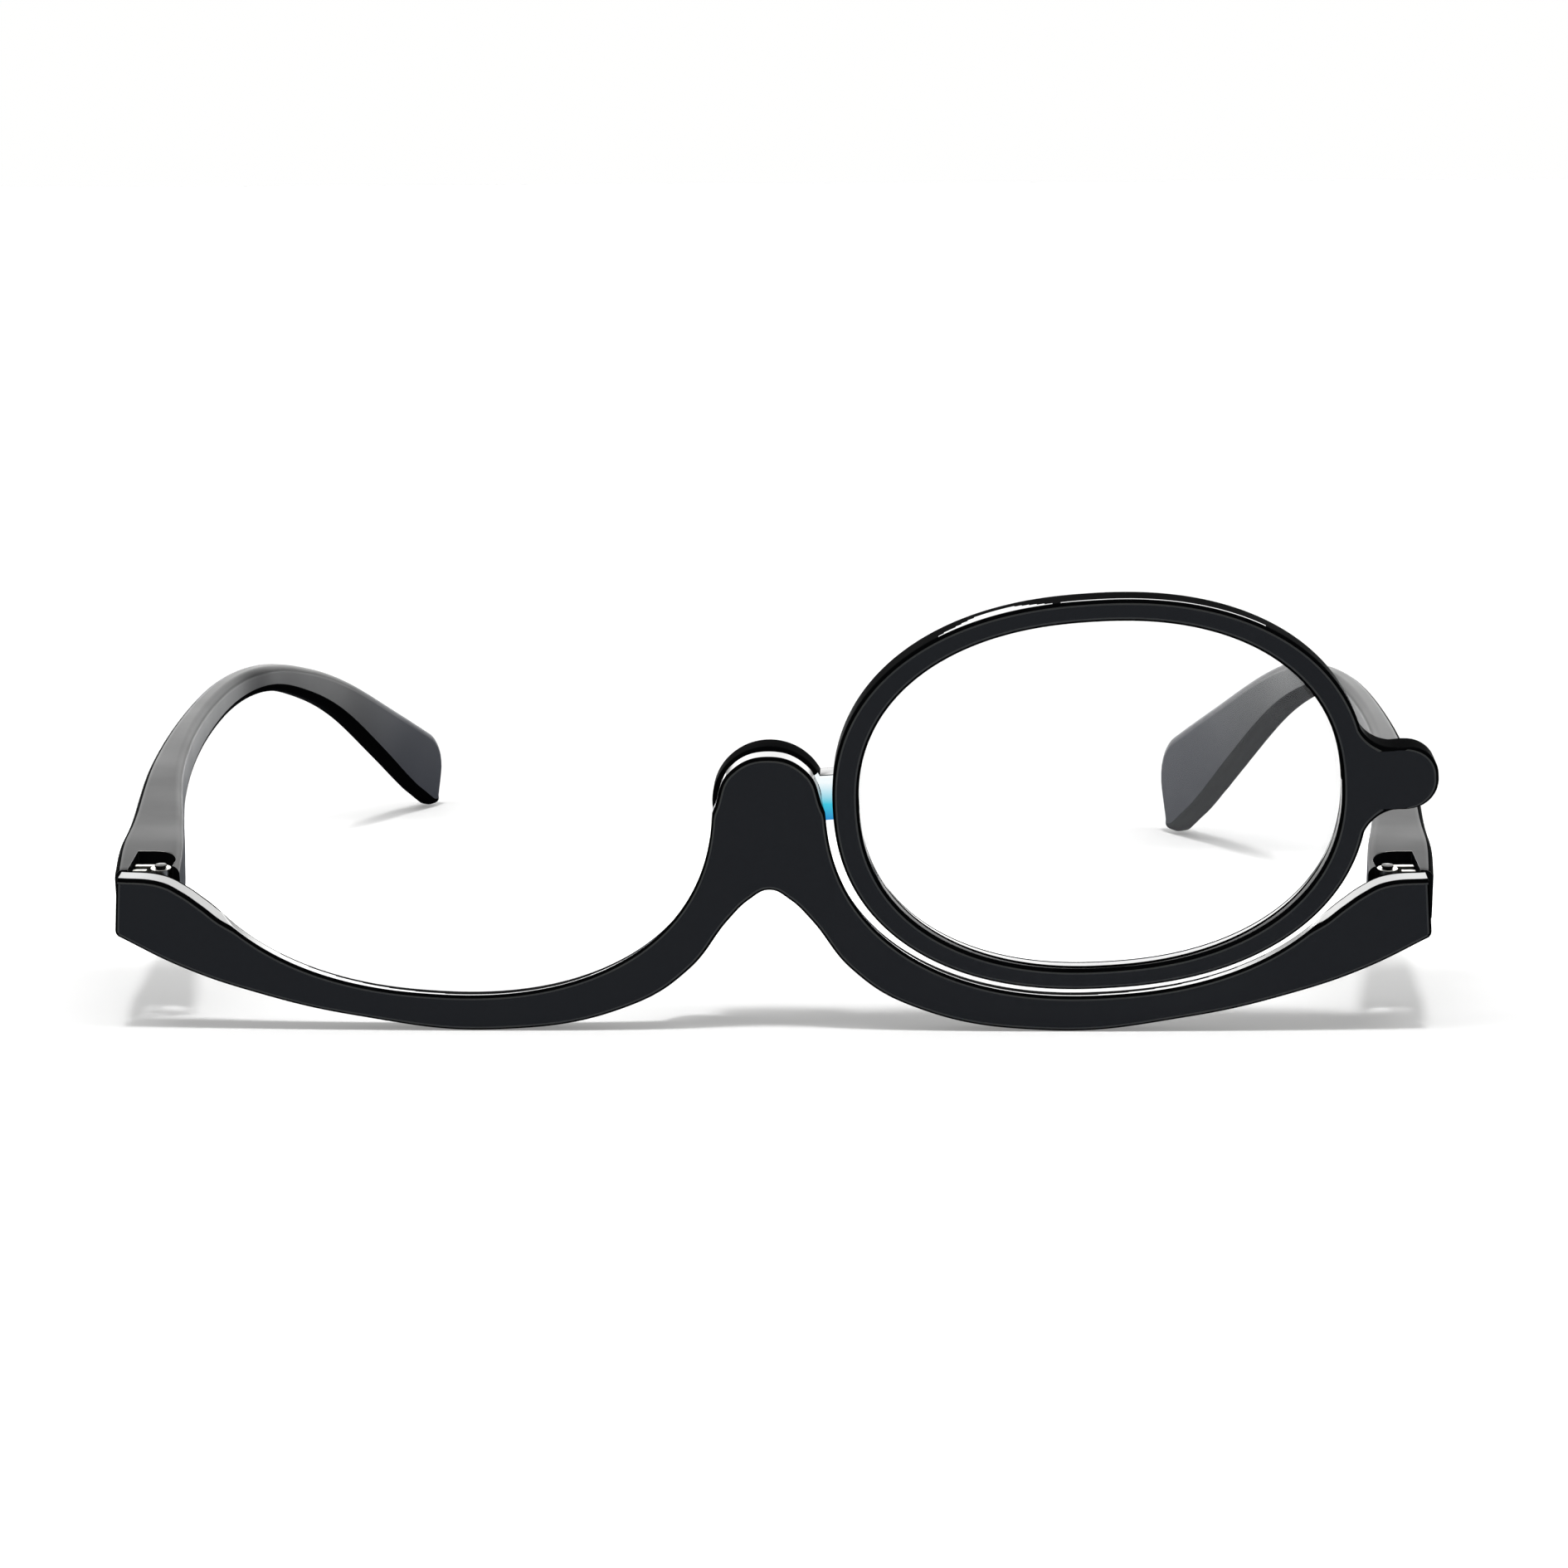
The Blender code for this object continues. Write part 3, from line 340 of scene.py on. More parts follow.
def worked_out(scene):
    """Sizes that follow from the ones that a user sets."""
    front, rim = scene.glasses_front, scene.glasses_rim
    pivot, hinge = scene.glasses_pivot, scene.glasses_hinge
    s = SimpleNamespace(front=front, rim=rim, pivot=pivot, hinge=hinge, temple=scene.glasses_temple)
    s.rim_half_width = rim.opening_half_width + rim.side
    s.rim_half_height = rim.opening_half_height + rim.top
    s.rim_reach = front.tongue_radius + rim.tongue_gap + s.rim_half_width
    s.tilt = rim.rest_tilt + rim.oval_tilt
    s.lens_x = s.rim_reach * cos(rim.rest_tilt)
    s.lens_z = s.rim_reach * sin(rim.rest_tilt)
    s.half_width = s.lens_x + s.rim_half_width + front.end_length
    s.washer_front = front.tongue_depth + SEAT_GAP
    s.hub_front = s.washer_front + pivot.washer_depth + SEAT_GAP
    s.hub_back = s.hub_front + rim.hub_depth
    s.head_back = s.hub_back - SEAT_GAP
    s.head_front = s.head_back - pivot.head_depth
    s.spring_front = s.head_front - SEAT_GAP - pivot.spring_depth
    s.hub_floor = s.spring_front - SEAT_GAP
    s.insert_front = front.tongue_depth - SEAT_GAP - pivot.insert_depth
    s.hinge_x = s.half_width - hinge.inset
    s.hinge_y = front.depth + hinge.setback
    s.hinge_z = -front.end_top_drop - front.end_height / 2
    s.leaf_width = hinge.inset - hinge.pocket_skin - SIDE_GAP
    s.anchor_x = s.hinge_x + (hinge.knuckle_radius + SIDE_GAP + s.leaf_width) / 2
    s.knuckle_step = hinge.slip_thickness + 2 * SEAT_GAP
    s.knuckle_height = (hinge.height - 2 * s.knuckle_step) / 3
    s.butt_y = front.depth + SIDE_GAP
    # The oval's own frame on the lens arm
    s.oval_place = (
        Matrix.Rotation(-rim.rest_tilt, 4, "Y")
        @ Matrix.Translation((s.rim_reach, 0.0, 0.0))
        @ Matrix.Rotation(-rim.oval_tilt, 4, "Y")
    )
    return s


def edit(piece):
    bpy.ops.object.select_all(action="DESELECT")
    piece.select_set(True)
    bpy.context.view_layer.objects.active = piece
    bpy.ops.object.mode_set(mode="EDIT")
    bpy.ops.mesh.select_all(action="SELECT")


def close_edit():
    """Turns the faces outwards and leaves edit mode."""
    bpy.ops.mesh.select_all(action="SELECT")
    bpy.ops.mesh.remove_doubles(threshold=SLIVER / 10)
    bpy.ops.mesh.normals_make_consistent(inside=False)
    bpy.ops.object.mode_set(mode="OBJECT")


def drawn_loop(name, points, filled):
    """A loop of edges through points in space, or a face, with each vertex numbered for later extrusions."""
    bpy.ops.object.select_all(action="DESELECT")
    fill = "NGON" if filled else "NOTHING"
    bpy.ops.mesh.primitive_circle_add(vertices=len(points), radius=1.0, fill_type=fill)
    made = bpy.context.object
    made.name = name
    numbers = made.data.attributes.new("place", "INT", "POINT")
    for i, point in enumerate(points):
        made.data.vertices[i].co = point
        numbers.data[i].value = i
    return made


def shape_selected(piece, points):
    """Moves the loop that an extrusion left selected on to new points."""
    shape = bmesh.from_edit_mesh(piece.data)
    place = shape.verts.layers.int["place"]
    for vertex in shape.verts:
        if vertex.select:
            vertex.co = points[vertex[place]]
    bmesh.update_edit_mesh(piece.data)


def loft(name, rings):
    """A closed body: the first ring filled, then extruded and shaped ring by ring."""
    made = drawn_loop(name, rings[0], filled=True)
    edit(made)
    for ring in rings[1:]:
        bpy.ops.mesh.extrude_region_move()
        shape_selected(made, ring)
    close_edit()
    return made


def ring_body(name, outer, inner, levels):
    """A flat ring between two outlines in X and Z, through levels of y from its front to its back."""
    front = levels[0]
    made = drawn_loop(name, [(x, front, z) for x, z in outer], filled=False)
    edit(made)
    bpy.ops.mesh.extrude_edges_move()
    shape_selected(made, [(x, front, z) for x, z in inner])
    bpy.ops.mesh.select_all(action="SELECT")
    for level, last in zip(levels[1:], levels):
        bpy.ops.mesh.extrude_region_move(TRANSFORM_OT_translate={"value": (0.0, level - last, 0.0)})
    close_edit()
    return made


def ramp(value, start, end):
    """0 before the start, 1 past the end, and in proportion between them. The end may be the lower one."""
    return min(max((value - start) / (end - start), 0.0), 1.0)


def wall_levels():
    """Shares of the depth at which a wall is cut, so that its polish can end at any of them."""
    steps = [THIN_LINE + (OPEN_LINE - THIN_LINE) * step / WALL_STEPS for step in range(WALL_STEPS + 1)]
    return [0.0, *steps, 1.0]


def finish_faces(piece, depth, polish):
    """Paints shade on the walls behind their polished share, and a highlight on the inner line of each front
    edge.
    """
    for face in piece.data.polygons:
        x, y, z = face.center
        if y > polish(x, z) * depth and abs(face.normal.y) < STEEP:
            face.material_index = PAINTED_SHADE_LOOK
        elif face.material_index == PAINTED_SHADE_LOOK and face.normal.y < -cos(LINE_TILT):
            face.material_index = PAINTED_HIGHLIGHT_LOOK


def plan_plate(name, outline, low, high):
    """A plate with its outline in X and Y, between two heights."""
    return loft(name, [[(x, y, low) for x, y in outline], [(x, y, high) for x, y in outline]])


def turned(name, profile, level=False):
    """A closed (radius, height) profile spun about Z or, if level, about Y with its top to the back."""
    made = drawn_loop(name, [(radius, 0.0, height) for radius, height in profile], filled=False)
    edit(made)
    bpy.ops.mesh.spin(steps=ROUND_STEPS, angle=2 * pi, center=(0.0, 0.0, 0.0), axis=(0.0, 0.0, 1.0))
    bpy.ops.mesh.select_all(action="SELECT")
    bpy.ops.mesh.remove_doubles(threshold=SLIVER / 10)
    bpy.ops.mesh.dissolve_degenerate(threshold=SLIVER / 10)
    close_edit()
    if level:
        made.data.transform(Matrix.Rotation(-pi / 2, 4, "X"))
    return made


def rod(name, radius, low, high, level=False):
    return turned(name, [(0.0, low), (radius, low), (radius, high), (0.0, high)], level)


def block(name, lows, highs):
    bpy.ops.object.select_all(action="DESELECT")
    bpy.ops.mesh.primitive_cube_add(size=1.0)
    made = bpy.context.object
    made.name = name
    middle = [(a + b) / 2 for a, b in zip(lows, highs)]
    sides = [b - a for a, b in zip(lows, highs)]
    made.data.transform(Matrix.Translation(middle) @ Matrix.Diagonal((*sides, 1.0)))
    return made


def apply_modifier(piece, kind, **settings):
    bpy.context.view_layer.objects.active = piece
    modifier = piece.modifiers.new(kind, kind)
    for name, value in settings.items():
        setattr(modifier, name, value)
    bpy.ops.object.modifier_apply(modifier=modifier.name)


def combine(piece, tool, operation="DIFFERENCE"):
    apply_modifier(piece, "BOOLEAN", operation=operation, solver="EXACT", object=tool)
    bpy.data.objects.remove(tool)


def round_edges(piece, width, segments=4, clamp=False, look=-1):
    """Rounds the sharp edges. The new faces take the look in this material slot."""
    apply_modifier(piece, "WELD", merge_threshold=SLIVER)
    apply_modifier(
        piece,
        "BEVEL",
        width=width,
        segments=segments,
        limit_method="ANGLE",
        angle_limit=SHARP_ANGLE,
        use_clamp_overlap=clamp,
        material=look,
    )
    apply_modifier(piece, "WELD", merge_threshold=SLIVER / 4)


def settle(piece, look, body, slot, *nodes):
    """Leans a finished piece on to the floor, smooths its shading and hangs it on its CAD body."""
    piece.data.transform(STAND)
    if "place" in piece.data.attributes:
        piece.data.attributes.remove(piece.data.attributes["place"])
    bpy.ops.object.select_all(action="DESELECT")
    piece.select_set(True)
    bpy.context.view_layer.objects.active = piece
    bpy.ops.object.shade_smooth_by_angle(angle=SHARP_ANGLE)
    apply_modifier(piece, "WEIGHTED_NORMAL", keep_sharp=True)
    if look:
        piece.data.materials.append(look)
    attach(piece, body)
    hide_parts(*nodes)


def mirrored(piece, name):
    """A mirror image across the middle, with a mesh of its own."""
    made = piece.copy()
    made.name = name
    made.data = piece.data.copy()
    made.data.transform(Matrix.Scale(-1.0, 4, (1.0, 0.0, 0.0)))
    made.data.flip_normals()
    bpy.context.scene.collection.objects.link(made)
    return made


def oval(half_width, half_height, exponent, count=OVAL_POINTS):
    """Points of the lens oval, a superellipse, about its own centre."""
    points = []
    for step in range(count):
        turn = 2 * pi * step / count
        c, s = cos(turn), sin(turn)
        x = abs(c) ** (2 / exponent) * half_width * (1 if c >= 0 else -1)
        z = abs(s) ** (2 / exponent) * half_height * (1 if s >= 0 else -1)
        points.append((x, z))
    return points


def oval_radius(half_width, half_height, exponent, direction):
    across = (abs(cos(direction)) / half_width) ** exponent
    upwards = (abs(sin(direction)) / half_height) ** exponent
    return (across + upwards) ** (-1 / exponent)


def nest_radius(s, direction):
    gap = s.front.nest_gap
    return oval_radius(s.rim_half_width + gap, s.rim_half_height + gap, s.rim.exponent, direction - s.tilt)


def beside_nest(s, direction, distance):
    """The point this far outside the right loop's nest, in a direction from the lens centre."""
    reach = nest_radius(s, direction) + distance
    return s.lens_x + reach * cos(direction), s.lens_z + reach * sin(direction)


def clear_of_nests(s, point, least):
    """The point, moved outwards where it is nearer a nest than the least distance."""
    x, z = point
    side = 1 if x >= 0 else -1
    direction = atan2(z - s.lens_z, side * x - s.lens_x)
    distance = hypot(side * x - s.lens_x, z - s.lens_z) - nest_radius(s, direction)
    if distance >= least:
        return point
    moved = beside_nest(s, direction, least)
    return side * moved[0], moved[1]


def smooth_outline(knots):
    """Points of a closed Bezier outline."""
    bpy.ops.object.select_all(action="DESELECT")
    bpy.ops.curve.primitive_bezier_curve_add()
    drawn = bpy.context.object
    drawn.data.dimensions = "2D"
    drawn.data.resolution_u = CURVE_STEPS
    spline = drawn.data.splines[0]
    spline.bezier_points.add(len(knots) - 2)
    for knot, (x, z, kind) in zip(spline.bezier_points, knots):
        knot.co = (x, z, 0.0)
        knot.handle_left_type = kind
        knot.handle_right_type = kind
    spline.use_cyclic_u = True
    bpy.ops.object.convert(target="MESH")
    points = [(vertex.co.x, vertex.co.y) for vertex in bpy.context.object.data.vertices]
    bpy.ops.object.delete()
    return points


def front_outline(s):
    """The front's outline: loops, end pieces, nose arch and tongue, with the nests taken out."""
    front = s.front
    end_top = -front.end_top_drop
    half = [(front.arch_half_width, -front.arch_drop - front.arch_half_width / 2, "AUTO")]
    half += [(*beside_nest(s, radians(direction), width), "AUTO") for direction, width in LOOP_WIDTHS]
    half += [
        (s.half_width + front.end_flare, end_top - front.end_height, "VECTOR"),
        (s.half_width, end_top, "VECTOR"),
        (s.half_width - front.end_level, end_top - front.edge, "AUTO"),
    ]
    half += [(*beside_nest(s, radians(direction), gap), "AUTO") for direction, gap in END_RUN_DOWN]
    # The knots inside the nest are only there to be replaced by its oval.
    half += [
        (front.tongue_radius + s.rim.side, -front.tongue_radius, "VECTOR"),
        (front.tongue_radius, 0.0, "AUTO"),
        (front.tongue_radius * cos(pi / 4), front.tongue_radius * sin(pi / 4), "AUTO"),
    ]
    mirrored_half = [(-x, z, kind) for x, z, kind in reversed(half)]
    knots = [(0.0, -front.arch_drop, "AUTO"), *half, (0.0, front.tongue_radius, "AUTO"), *mirrored_half]
    drawn = smooth_outline(knots)
    return with_nests(s, drawn)


def with_nests(s, drawn):
    """The drawn outline with each run of points inside a nest replaced by the nest's own oval."""
    inside = [clear_of_nests(s, point, 0.0) != point for point in drawn]
    outline = []
    for i, point in enumerate(drawn):
        if not inside[i]:
            outline.append(point)
        elif not inside[i - 1]:
            j = i
            while inside[j % len(drawn)]:
                j += 1
            outline += nest_run(s, drawn[i - 1], drawn[j % len(drawn)])
    return outline


def nest_run(s, start, end):
    """Points of a nest's oval between two points of the outline."""
    side = 1 if start[0] + end[0] >= 0 else -1
    turns = [atan2(z - s.lens_z, side * x - s.lens_x) % (2 * pi) for x, z in (start, end)]
    steps = OVAL_POINTS // 2
    run = []
    for step in range(1, steps):
        x, z = beside_nest(s, turns[0] + (turns[1] - turns[0]) * step / steps, 0.0)
        run.append((side * x, z))
    return run


def arc(centre, radius, start, end, steps=CURVE_STEPS):
    """Points from the start to the end angle."""
    points = []
    for step in range(steps + 1):
        turn = start + (end - start) * step / steps
        points.append((centre[0] + radius * cos(turn), centre[1] + radius * sin(turn)))
    return points


def rim_outline(s):
    """The rim's outer oval, with the finger tab flaring out of its right end."""
    rim = s.rim
    tip = s.rim_half_width + rim.tab_length
    half = rim.tab_height / 2
    touch = half + rim.tab_fillet * (1 - sin(rim.tab_flare))
    touch_x = s.rim_half_width * (1 - (touch / s.rim_half_height) ** rim.exponent) ** (1 / rim.exponent)
    flare = touch_x + rim.tab_fillet * cos(rim.tab_flare)
    upper = [
        *arc((flare, half + rim.tab_fillet), rim.tab_fillet, pi + rim.tab_flare, 3 * pi / 2),
        *arc((tip - rim.tab_corner, half - rim.tab_corner), rim.tab_corner, pi / 2, 0.0),
    ]
    lower = [(x, -z) for x, z in reversed(upper[:-1])]
    whole = oval(s.rim_half_width, s.rim_half_height, rim.exponent)
    left_of_tab = [(x, z) for x, z in whole if x < 0 or abs(z) > touch + SIDE_GAP]
    return [*upper, *lower, *reversed(left_of_tab)]


def lens_rings(s, grow, edge):
    """Rings of the lens from the middle of its front to the middle of its back.

    The faces are grown outwards, and the edge lies this far outside the rim's opening.
    """
    rim = s.rim
    half_edge = rim.lens_edge / 2
    reach = rim.opening_half_width**2 / 2
    front_vertex = rim.lens_setback - half_edge - reach / rim.front_curve - grow
    back_vertex = rim.lens_setback + half_edge - reach / rim.back_curve + grow
    outline = oval(rim.opening_half_width + edge, rim.opening_half_height + edge, rim.exponent)
    shares = [(step + 0.5) / (LENS_RINGS + 0.5) for step in range(LENS_RINGS + 1)]

    def ring(share, vertex, curve, slope):
        points = [(x * share, z * share) for x, z in outline]
        return [(x, vertex + (x * x + z * z) / (2 * curve) + slope * z, z) for x, z in points]

    front = [ring(share, front_vertex, rim.front_curve, 0.0) for share in shares]
    back = [ring(share, back_vertex, rim.back_curve, tan(rim.wedge)) for share in reversed(shares)]
    return front + back


def smooth_between(before, start, end, after, share):
    """A point on the Catmull-Rom curve from start to end."""
    values = []
    for a, b, c, d in zip(before, start, end, after):
        values.append(
            b + 0.5 * share * (c - a + share * (2 * a - 5 * b + 4 * c - d + share * (3 * (b - c) + d - a)))
        )
    return values


def temple_stations(s):
    temple, hinge = s.temple, s.hinge
    butt = (s.butt_y - s.hinge_y, 0.0, temple.butt_height, temple.butt_thickness, temple.butt_outset)
    solid = hinge.pocket_length + hinge.anchor_length + temple.edge
    outset = POCKET_OUTSET * temple.butt_outset
    behind_pocket = (solid, 0.0, temple.butt_height, temple.butt_thickness, outset)
    tip = (temple.tip_reach, -temple.tip_drop, temple.tip_height, temple.tip_thickness, -temple.tip_inset)
    knots = [butt, behind_pocket, *TEMPLE_STATIONS, tip]
    first = [2 * a - b for a, b in zip(knots[0], knots[1])]
    last = [2 * a - b for a, b in zip(knots[-1], knots[-2])]
    ends = [first, *knots, last]
    stations = []
    for i in range(1, len(ends) - 2):
        for step in range(TEMPLE_STEPS):
            stations.append(smooth_between(*ends[i - 1 : i + 3], step / TEMPLE_STEPS))
    return [*stations, list(tip)]


def section_ring(s, centre, along, height, thickness):
    """A rounded rectangle square to the temple's run."""
    upwards = (Vector((0, 0, 1)) - along * along.z).normalized()
    outwards = along.cross(upwards).normalized()
    corner = min(s.temple.edge, thickness * FULLEST_CORNER, height * FULLEST_CORNER)
    ring = []
    for quarter, (across, up) in enumerate(((1, 1), (-1, 1), (-1, -1), (1, -1))):
        for step in range(CORNER_STEPS + 1):
            turn = (quarter + step / CORNER_STEPS) * pi / 2
            x = across * (thickness / 2 - corner) + corner * cos(turn)
            z = up * (height / 2 - corner) + corner * sin(turn)
            ring.append(centre + outwards * x + upwards * z)
    return ring


def temple_rings(s):
    temple = s.temple
    stations = temple_stations(s)
    centres = []
    for distance, rise, _, thickness, outset in stations:
        x = s.half_width + outset - thickness / 2
        centres.append(Vector((x, s.hinge_y + distance, s.hinge_z + rise)))
    rings = []
    for i, (_, _, height, thickness, _) in enumerate(stations):
        if i == 0:
            along = Vector((0, 1, 0))
        elif i == len(stations) - 1:
            along = (centres[i] - centres[i - 1]).normalized()
        else:
            along = (centres[i + 1] - centres[i - 1]).normalized()
        rings.append(section_ring(s, centres[i], along, height, thickness))
    upwards = (Vector((0, 0, 1)) - along * along.z).normalized()
    for reach, top_cut, bottom_cut in tip_end(temple):
        centre = centres[-1] + along * reach + upwards * (bottom_cut - top_cut) / 2
        height = temple.tip_height - top_cut - bottom_cut
        rings.append(section_ring(s, centre, along, height, temple.tip_thickness))
    return rings


def tip_end(temple):
    """The slanted end from its upper corner to its heel: reach, and the cuts above and below."""
    slant = temple.tip_slant
    end = []
    for step in range(1, CORNER_STEPS + 1):
        turn = (pi / 2 - slant) * step / CORNER_STEPS
        end.append((temple.tip_corner * sin(turn), temple.tip_corner * (1 - cos(turn)), 0.0))
    reach, top_cut, _ = end[-1]
    last_cut = temple.tip_height - temple.tip_heel * (1 + sin(slant))
    last_reach = reach + (last_cut - top_cut) * tan(slant)
    heel_reach = last_reach - temple.tip_heel * cos(slant)
    for step in range(CORNER_STEPS + 1):
        turn = (pi / 2 - slant) * step / CORNER_STEPS
        out = heel_reach + temple.tip_heel * sin(turn)
        end.append((out, top_cut + (out - reach) / tan(slant), temple.tip_heel * (1 - cos(turn))))
    return end


def right_turn(s):
    """The right temple's turn about its hinge, which stands a little more closed at rest."""
    axis = Matrix.Translation((s.hinge_x, s.hinge_y, 0.0))
    return axis @ Matrix.Rotation(s.temple.right_turn, 4, "Z") @ axis.inverted()


def pocket_outline(s):
    """The hinge pocket in plan, open to the front."""
    hinge = s.hinge
    front = s.front.depth - SIDE_GAP
    back = s.hinge_y + hinge.pocket_length
    inner = s.hinge_x - hinge.knuckle_radius - SIDE_GAP
    outer = s.half_width - hinge.pocket_skin
    corner = arc((inner + hinge.pocket_corner, back - hinge.pocket_corner), hinge.pocket_corner, pi, pi / 2)
    return [(outer, front), (inner, front), *corner, (outer, back)]


def hook_outline(s, direction):
    """A leaf in plan: a strip that curls round the pin. A direction of -1 takes it in front of the pin."""
    outside = s.hinge.knuckle_radius
    inside = outside - s.hinge.leaf
    meets = asin(inside / outside)
    points = [(s.leaf_width, inside), (s.leaf_width, outside)]
    for step in range(ROUND_STEPS + 1):
        turn = pi / 2 + (3 * pi / 2 + meets) * step / ROUND_STEPS
        points.append((outside * cos(turn), outside * sin(turn)))
    return [(s.hinge_x + x, s.hinge_y + direction * y) for x, y in points]


def knuckle_levels(s):
    """The (low, high) heights of the three knuckles, from the lowest up."""
    low = s.hinge_z - s.hinge.height / 2
    step = s.knuckle_height + s.knuckle_step
    return [(low + i * step, low + i * step + s.knuckle_height) for i in range(3)]


def new_material(name):
    made = bpy.data.materials.new(name)
    made.use_nodes = True
    return made, made.node_tree.nodes["Principled BSDF"]


def add_node(tree, kind, inputs=(), **settings):
    """Adds a node. Its inputs come in order, or by place or name, each as a value or as a link's start."""
    made = tree.nodes.new(kind)
    for name, value in settings.items():
        setattr(made, name, value)
    places = inputs if isinstance(inputs, dict) else dict(enumerate(inputs))
    for place, value in places.items():
        if isinstance(value, bpy.types.Node):
            value = value.outputs[0]
        if isinstance(value, bpy.types.NodeSocket):
            tree.links.new(value, made.inputs[place])
        else:
            made.inputs[place].default_value = value
    return made


def grain(tree, size, detail=2.0, stretch=(1.0, 1.0, 1.0)):
    """A pattern whose features are about this size, in metres, in Object coordinates."""
    where = add_node(tree, "ShaderNodeTexCoord")
    scale = [axis / size for axis in stretch]
    scaled = add_node(tree, "ShaderNodeMapping", {"Vector": where.outputs["Object"], "Scale": scale})
    return add_node(tree, "ShaderNodeTexNoise", {"Vector": scaled, "Scale": 1.0, "Detail": detail})


def vary(tree, shader, pattern, colours, roughness):
    """Runs the colour and the roughness from their first to their second value, with the pattern."""
    first, second = [(*colour, 1.0) for colour in colours]
    # A mix's sockets for colours share their names with those for numbers, so they are set by place.
    colour = add_node(tree, "ShaderNodeMix", {0: pattern, 6: first, 7: second}, data_type="RGBA")
    tree.links.new(colour.outputs[2], shader.inputs["Base Color"])
    rough = add_node(tree, "ShaderNodeMapRange", (pattern, *NOISE_RANGE, *roughness))
    tree.links.new(rough.outputs[0], shader.inputs["Roughness"])


def wear(piece, *looks):
    for look in looks:
        piece.data.materials.append(look)


def black_plastic(name, colour, low, high, ior):
    """Black moulded plastic: a faint warm flow haze in its colour and gloss, and a mould's orange peel."""
    made, shader = new_material(name)
    tree = made.node_tree
    warmer = [c * gain for c, gain in zip(colour, (1.9, 1.8, 1.4))]
    vary(tree, shader, grain(tree, 0.006, detail=3.0), (colour, warmer), (low, high))
    pitted = grain(tree, 0.0007)
    peel = add_node(tree, "ShaderNodeBump", {"Height": pitted, "Strength": 0.3, "Distance": 0.000002})
    tree.links.new(peel.outputs[0], shader.inputs["Normal"])
    shader.inputs["IOR"].default_value = ior
    return made


def polished_plastic(colour):
    """Tumble-polished faces and walls: they mirror the white backdrop at a low angle."""
    return black_plastic("polished_black_acetate", colour, 0.08, 0.13, 1.47)


def satin_plastic(colour, painted_tip_light):
    """The temples' satin moulding: the backdrop blurs to a soft grey on it, and the tips are painted light.
    """
    made = black_plastic("satin_black_acetate", colour, 0.38, 0.42, SATIN_IOR[1])
    tree = made.node_tree
    shader = tree.nodes["Principled BSDF"]
    where = add_node(tree, "ShaderNodeTexCoord")
    split = add_node(tree, "ShaderNodeSeparateXYZ", {"Vector": where.outputs["Object"]})
    back = split.outputs["Y"]
    gloss = add_node(tree, "ShaderNodeMapRange", (back, *SATIN_RUN, *SATIN_IOR), **SOFT)
    tree.links.new(gloss.outputs[0], shader.inputs["IOR"])
    plain = shader.inputs["Base Color"].links[0].from_socket
    # The tips are painted lighter, for the light that falls on them
    tip_lit_share = add_node(tree, "ShaderNodeMapRange", (back, *TIP_LIGHT_RUN), **SOFT)
    lit_tips = add_node(tree, "ShaderNodeMix", {0: tip_lit_share, 6: plain, 7: (*painted_tip_light, 1.0)}, data_type="RGBA")
    tree.links.new(lit_tips.outputs[2], shader.inputs["Base Color"])
    return made


def painted_shade_plastic(colour):
    """Painted shade: the rounded edges and shaded walls, darker and nearly unreflective, read as a black
    line.
    """
    return black_plastic("painted_shade_black_edge", [c * 0.4 for c in colour], 0.34, 0.44, 1.008)


def painted_highlight_plastic(colour):
    """Painted highlight: the start of a rounded edge, lighter, so it reads as a thin grey line in the black
    one.
    """
    return black_plastic("painted_highlight_black_edge", colour, 0.3, 0.4, 1.47)


def plastics(finish):
    return polished_plastic(finish.plastic), painted_shade_plastic(finish.plastic), painted_highlight_plastic(finish.edge_highlight)


def painted_arm_glint():
    """The arm beside the tongue: a painted glint of caught light, glowing white to cyan to blue down it."""
    made, shader = new_material("painted_glint_arm_plastic")
    tree = made.node_tree
    where = add_node(tree, "ShaderNodeTexCoord")
    split = add_node(tree, "ShaderNodeSeparateXYZ", {"Vector": where.outputs["Object"]})
    heights = PIVOT.z + GLINT_TOP, PIVOT.z + GLINT_BOTTOM
    down = add_node(tree, "ShaderNodeMapRange", (split.outputs["Z"], *heights))
    shades = add_node(tree, "ShaderNodeValToRGB", (down,))
    colours = shades.color_ramp.elements
    colours[0].color = (*linear("#f4fbfd"), 1.0)
    colours[1].color = (*linear("#2268c0"), 1.0)
    middle = colours.new(0.5)
    middle.color = (*linear("#3ec4dd"), 1.0)
    shader.inputs["Base Color"].default_value = (*linear("#101114"), 1.0)
    tree.links.new(shades.outputs["Color"], shader.inputs["Emission Color"])
    shader.inputs["Emission Strength"].default_value = 1.0
    rough = add_node(tree, "ShaderNodeMapRange", (grain(tree, 0.001), *NOISE_RANGE, 0.15, 0.3))
    tree.links.new(rough.outputs[0], shader.inputs["Roughness"])
    return made


def clear_resin(colour):
    """Clear lens resin: bends light as a +2 lens, with the trace of haze that polishing leaves."""
    made, shader = new_material("clear_lens_resin")
    tree = made.node_tree
    shader.inputs["Base Color"].default_value = (*colour, 1.0)
    haze = add_node(tree, "ShaderNodeMapRange", (grain(tree, 0.009), *NOISE_RANGE, 0.0, 0.012))
    tree.links.new(haze.outputs[0], shader.inputs["Roughness"])
    shader.inputs["Transmission Weight"].default_value = 1.0
    # An anti-reflection coat leaves little of the mirror image.
    shader.inputs["Specular IOR Level"].default_value = 0.1
    shader.inputs["IOR"].default_value = 1.50
    return made


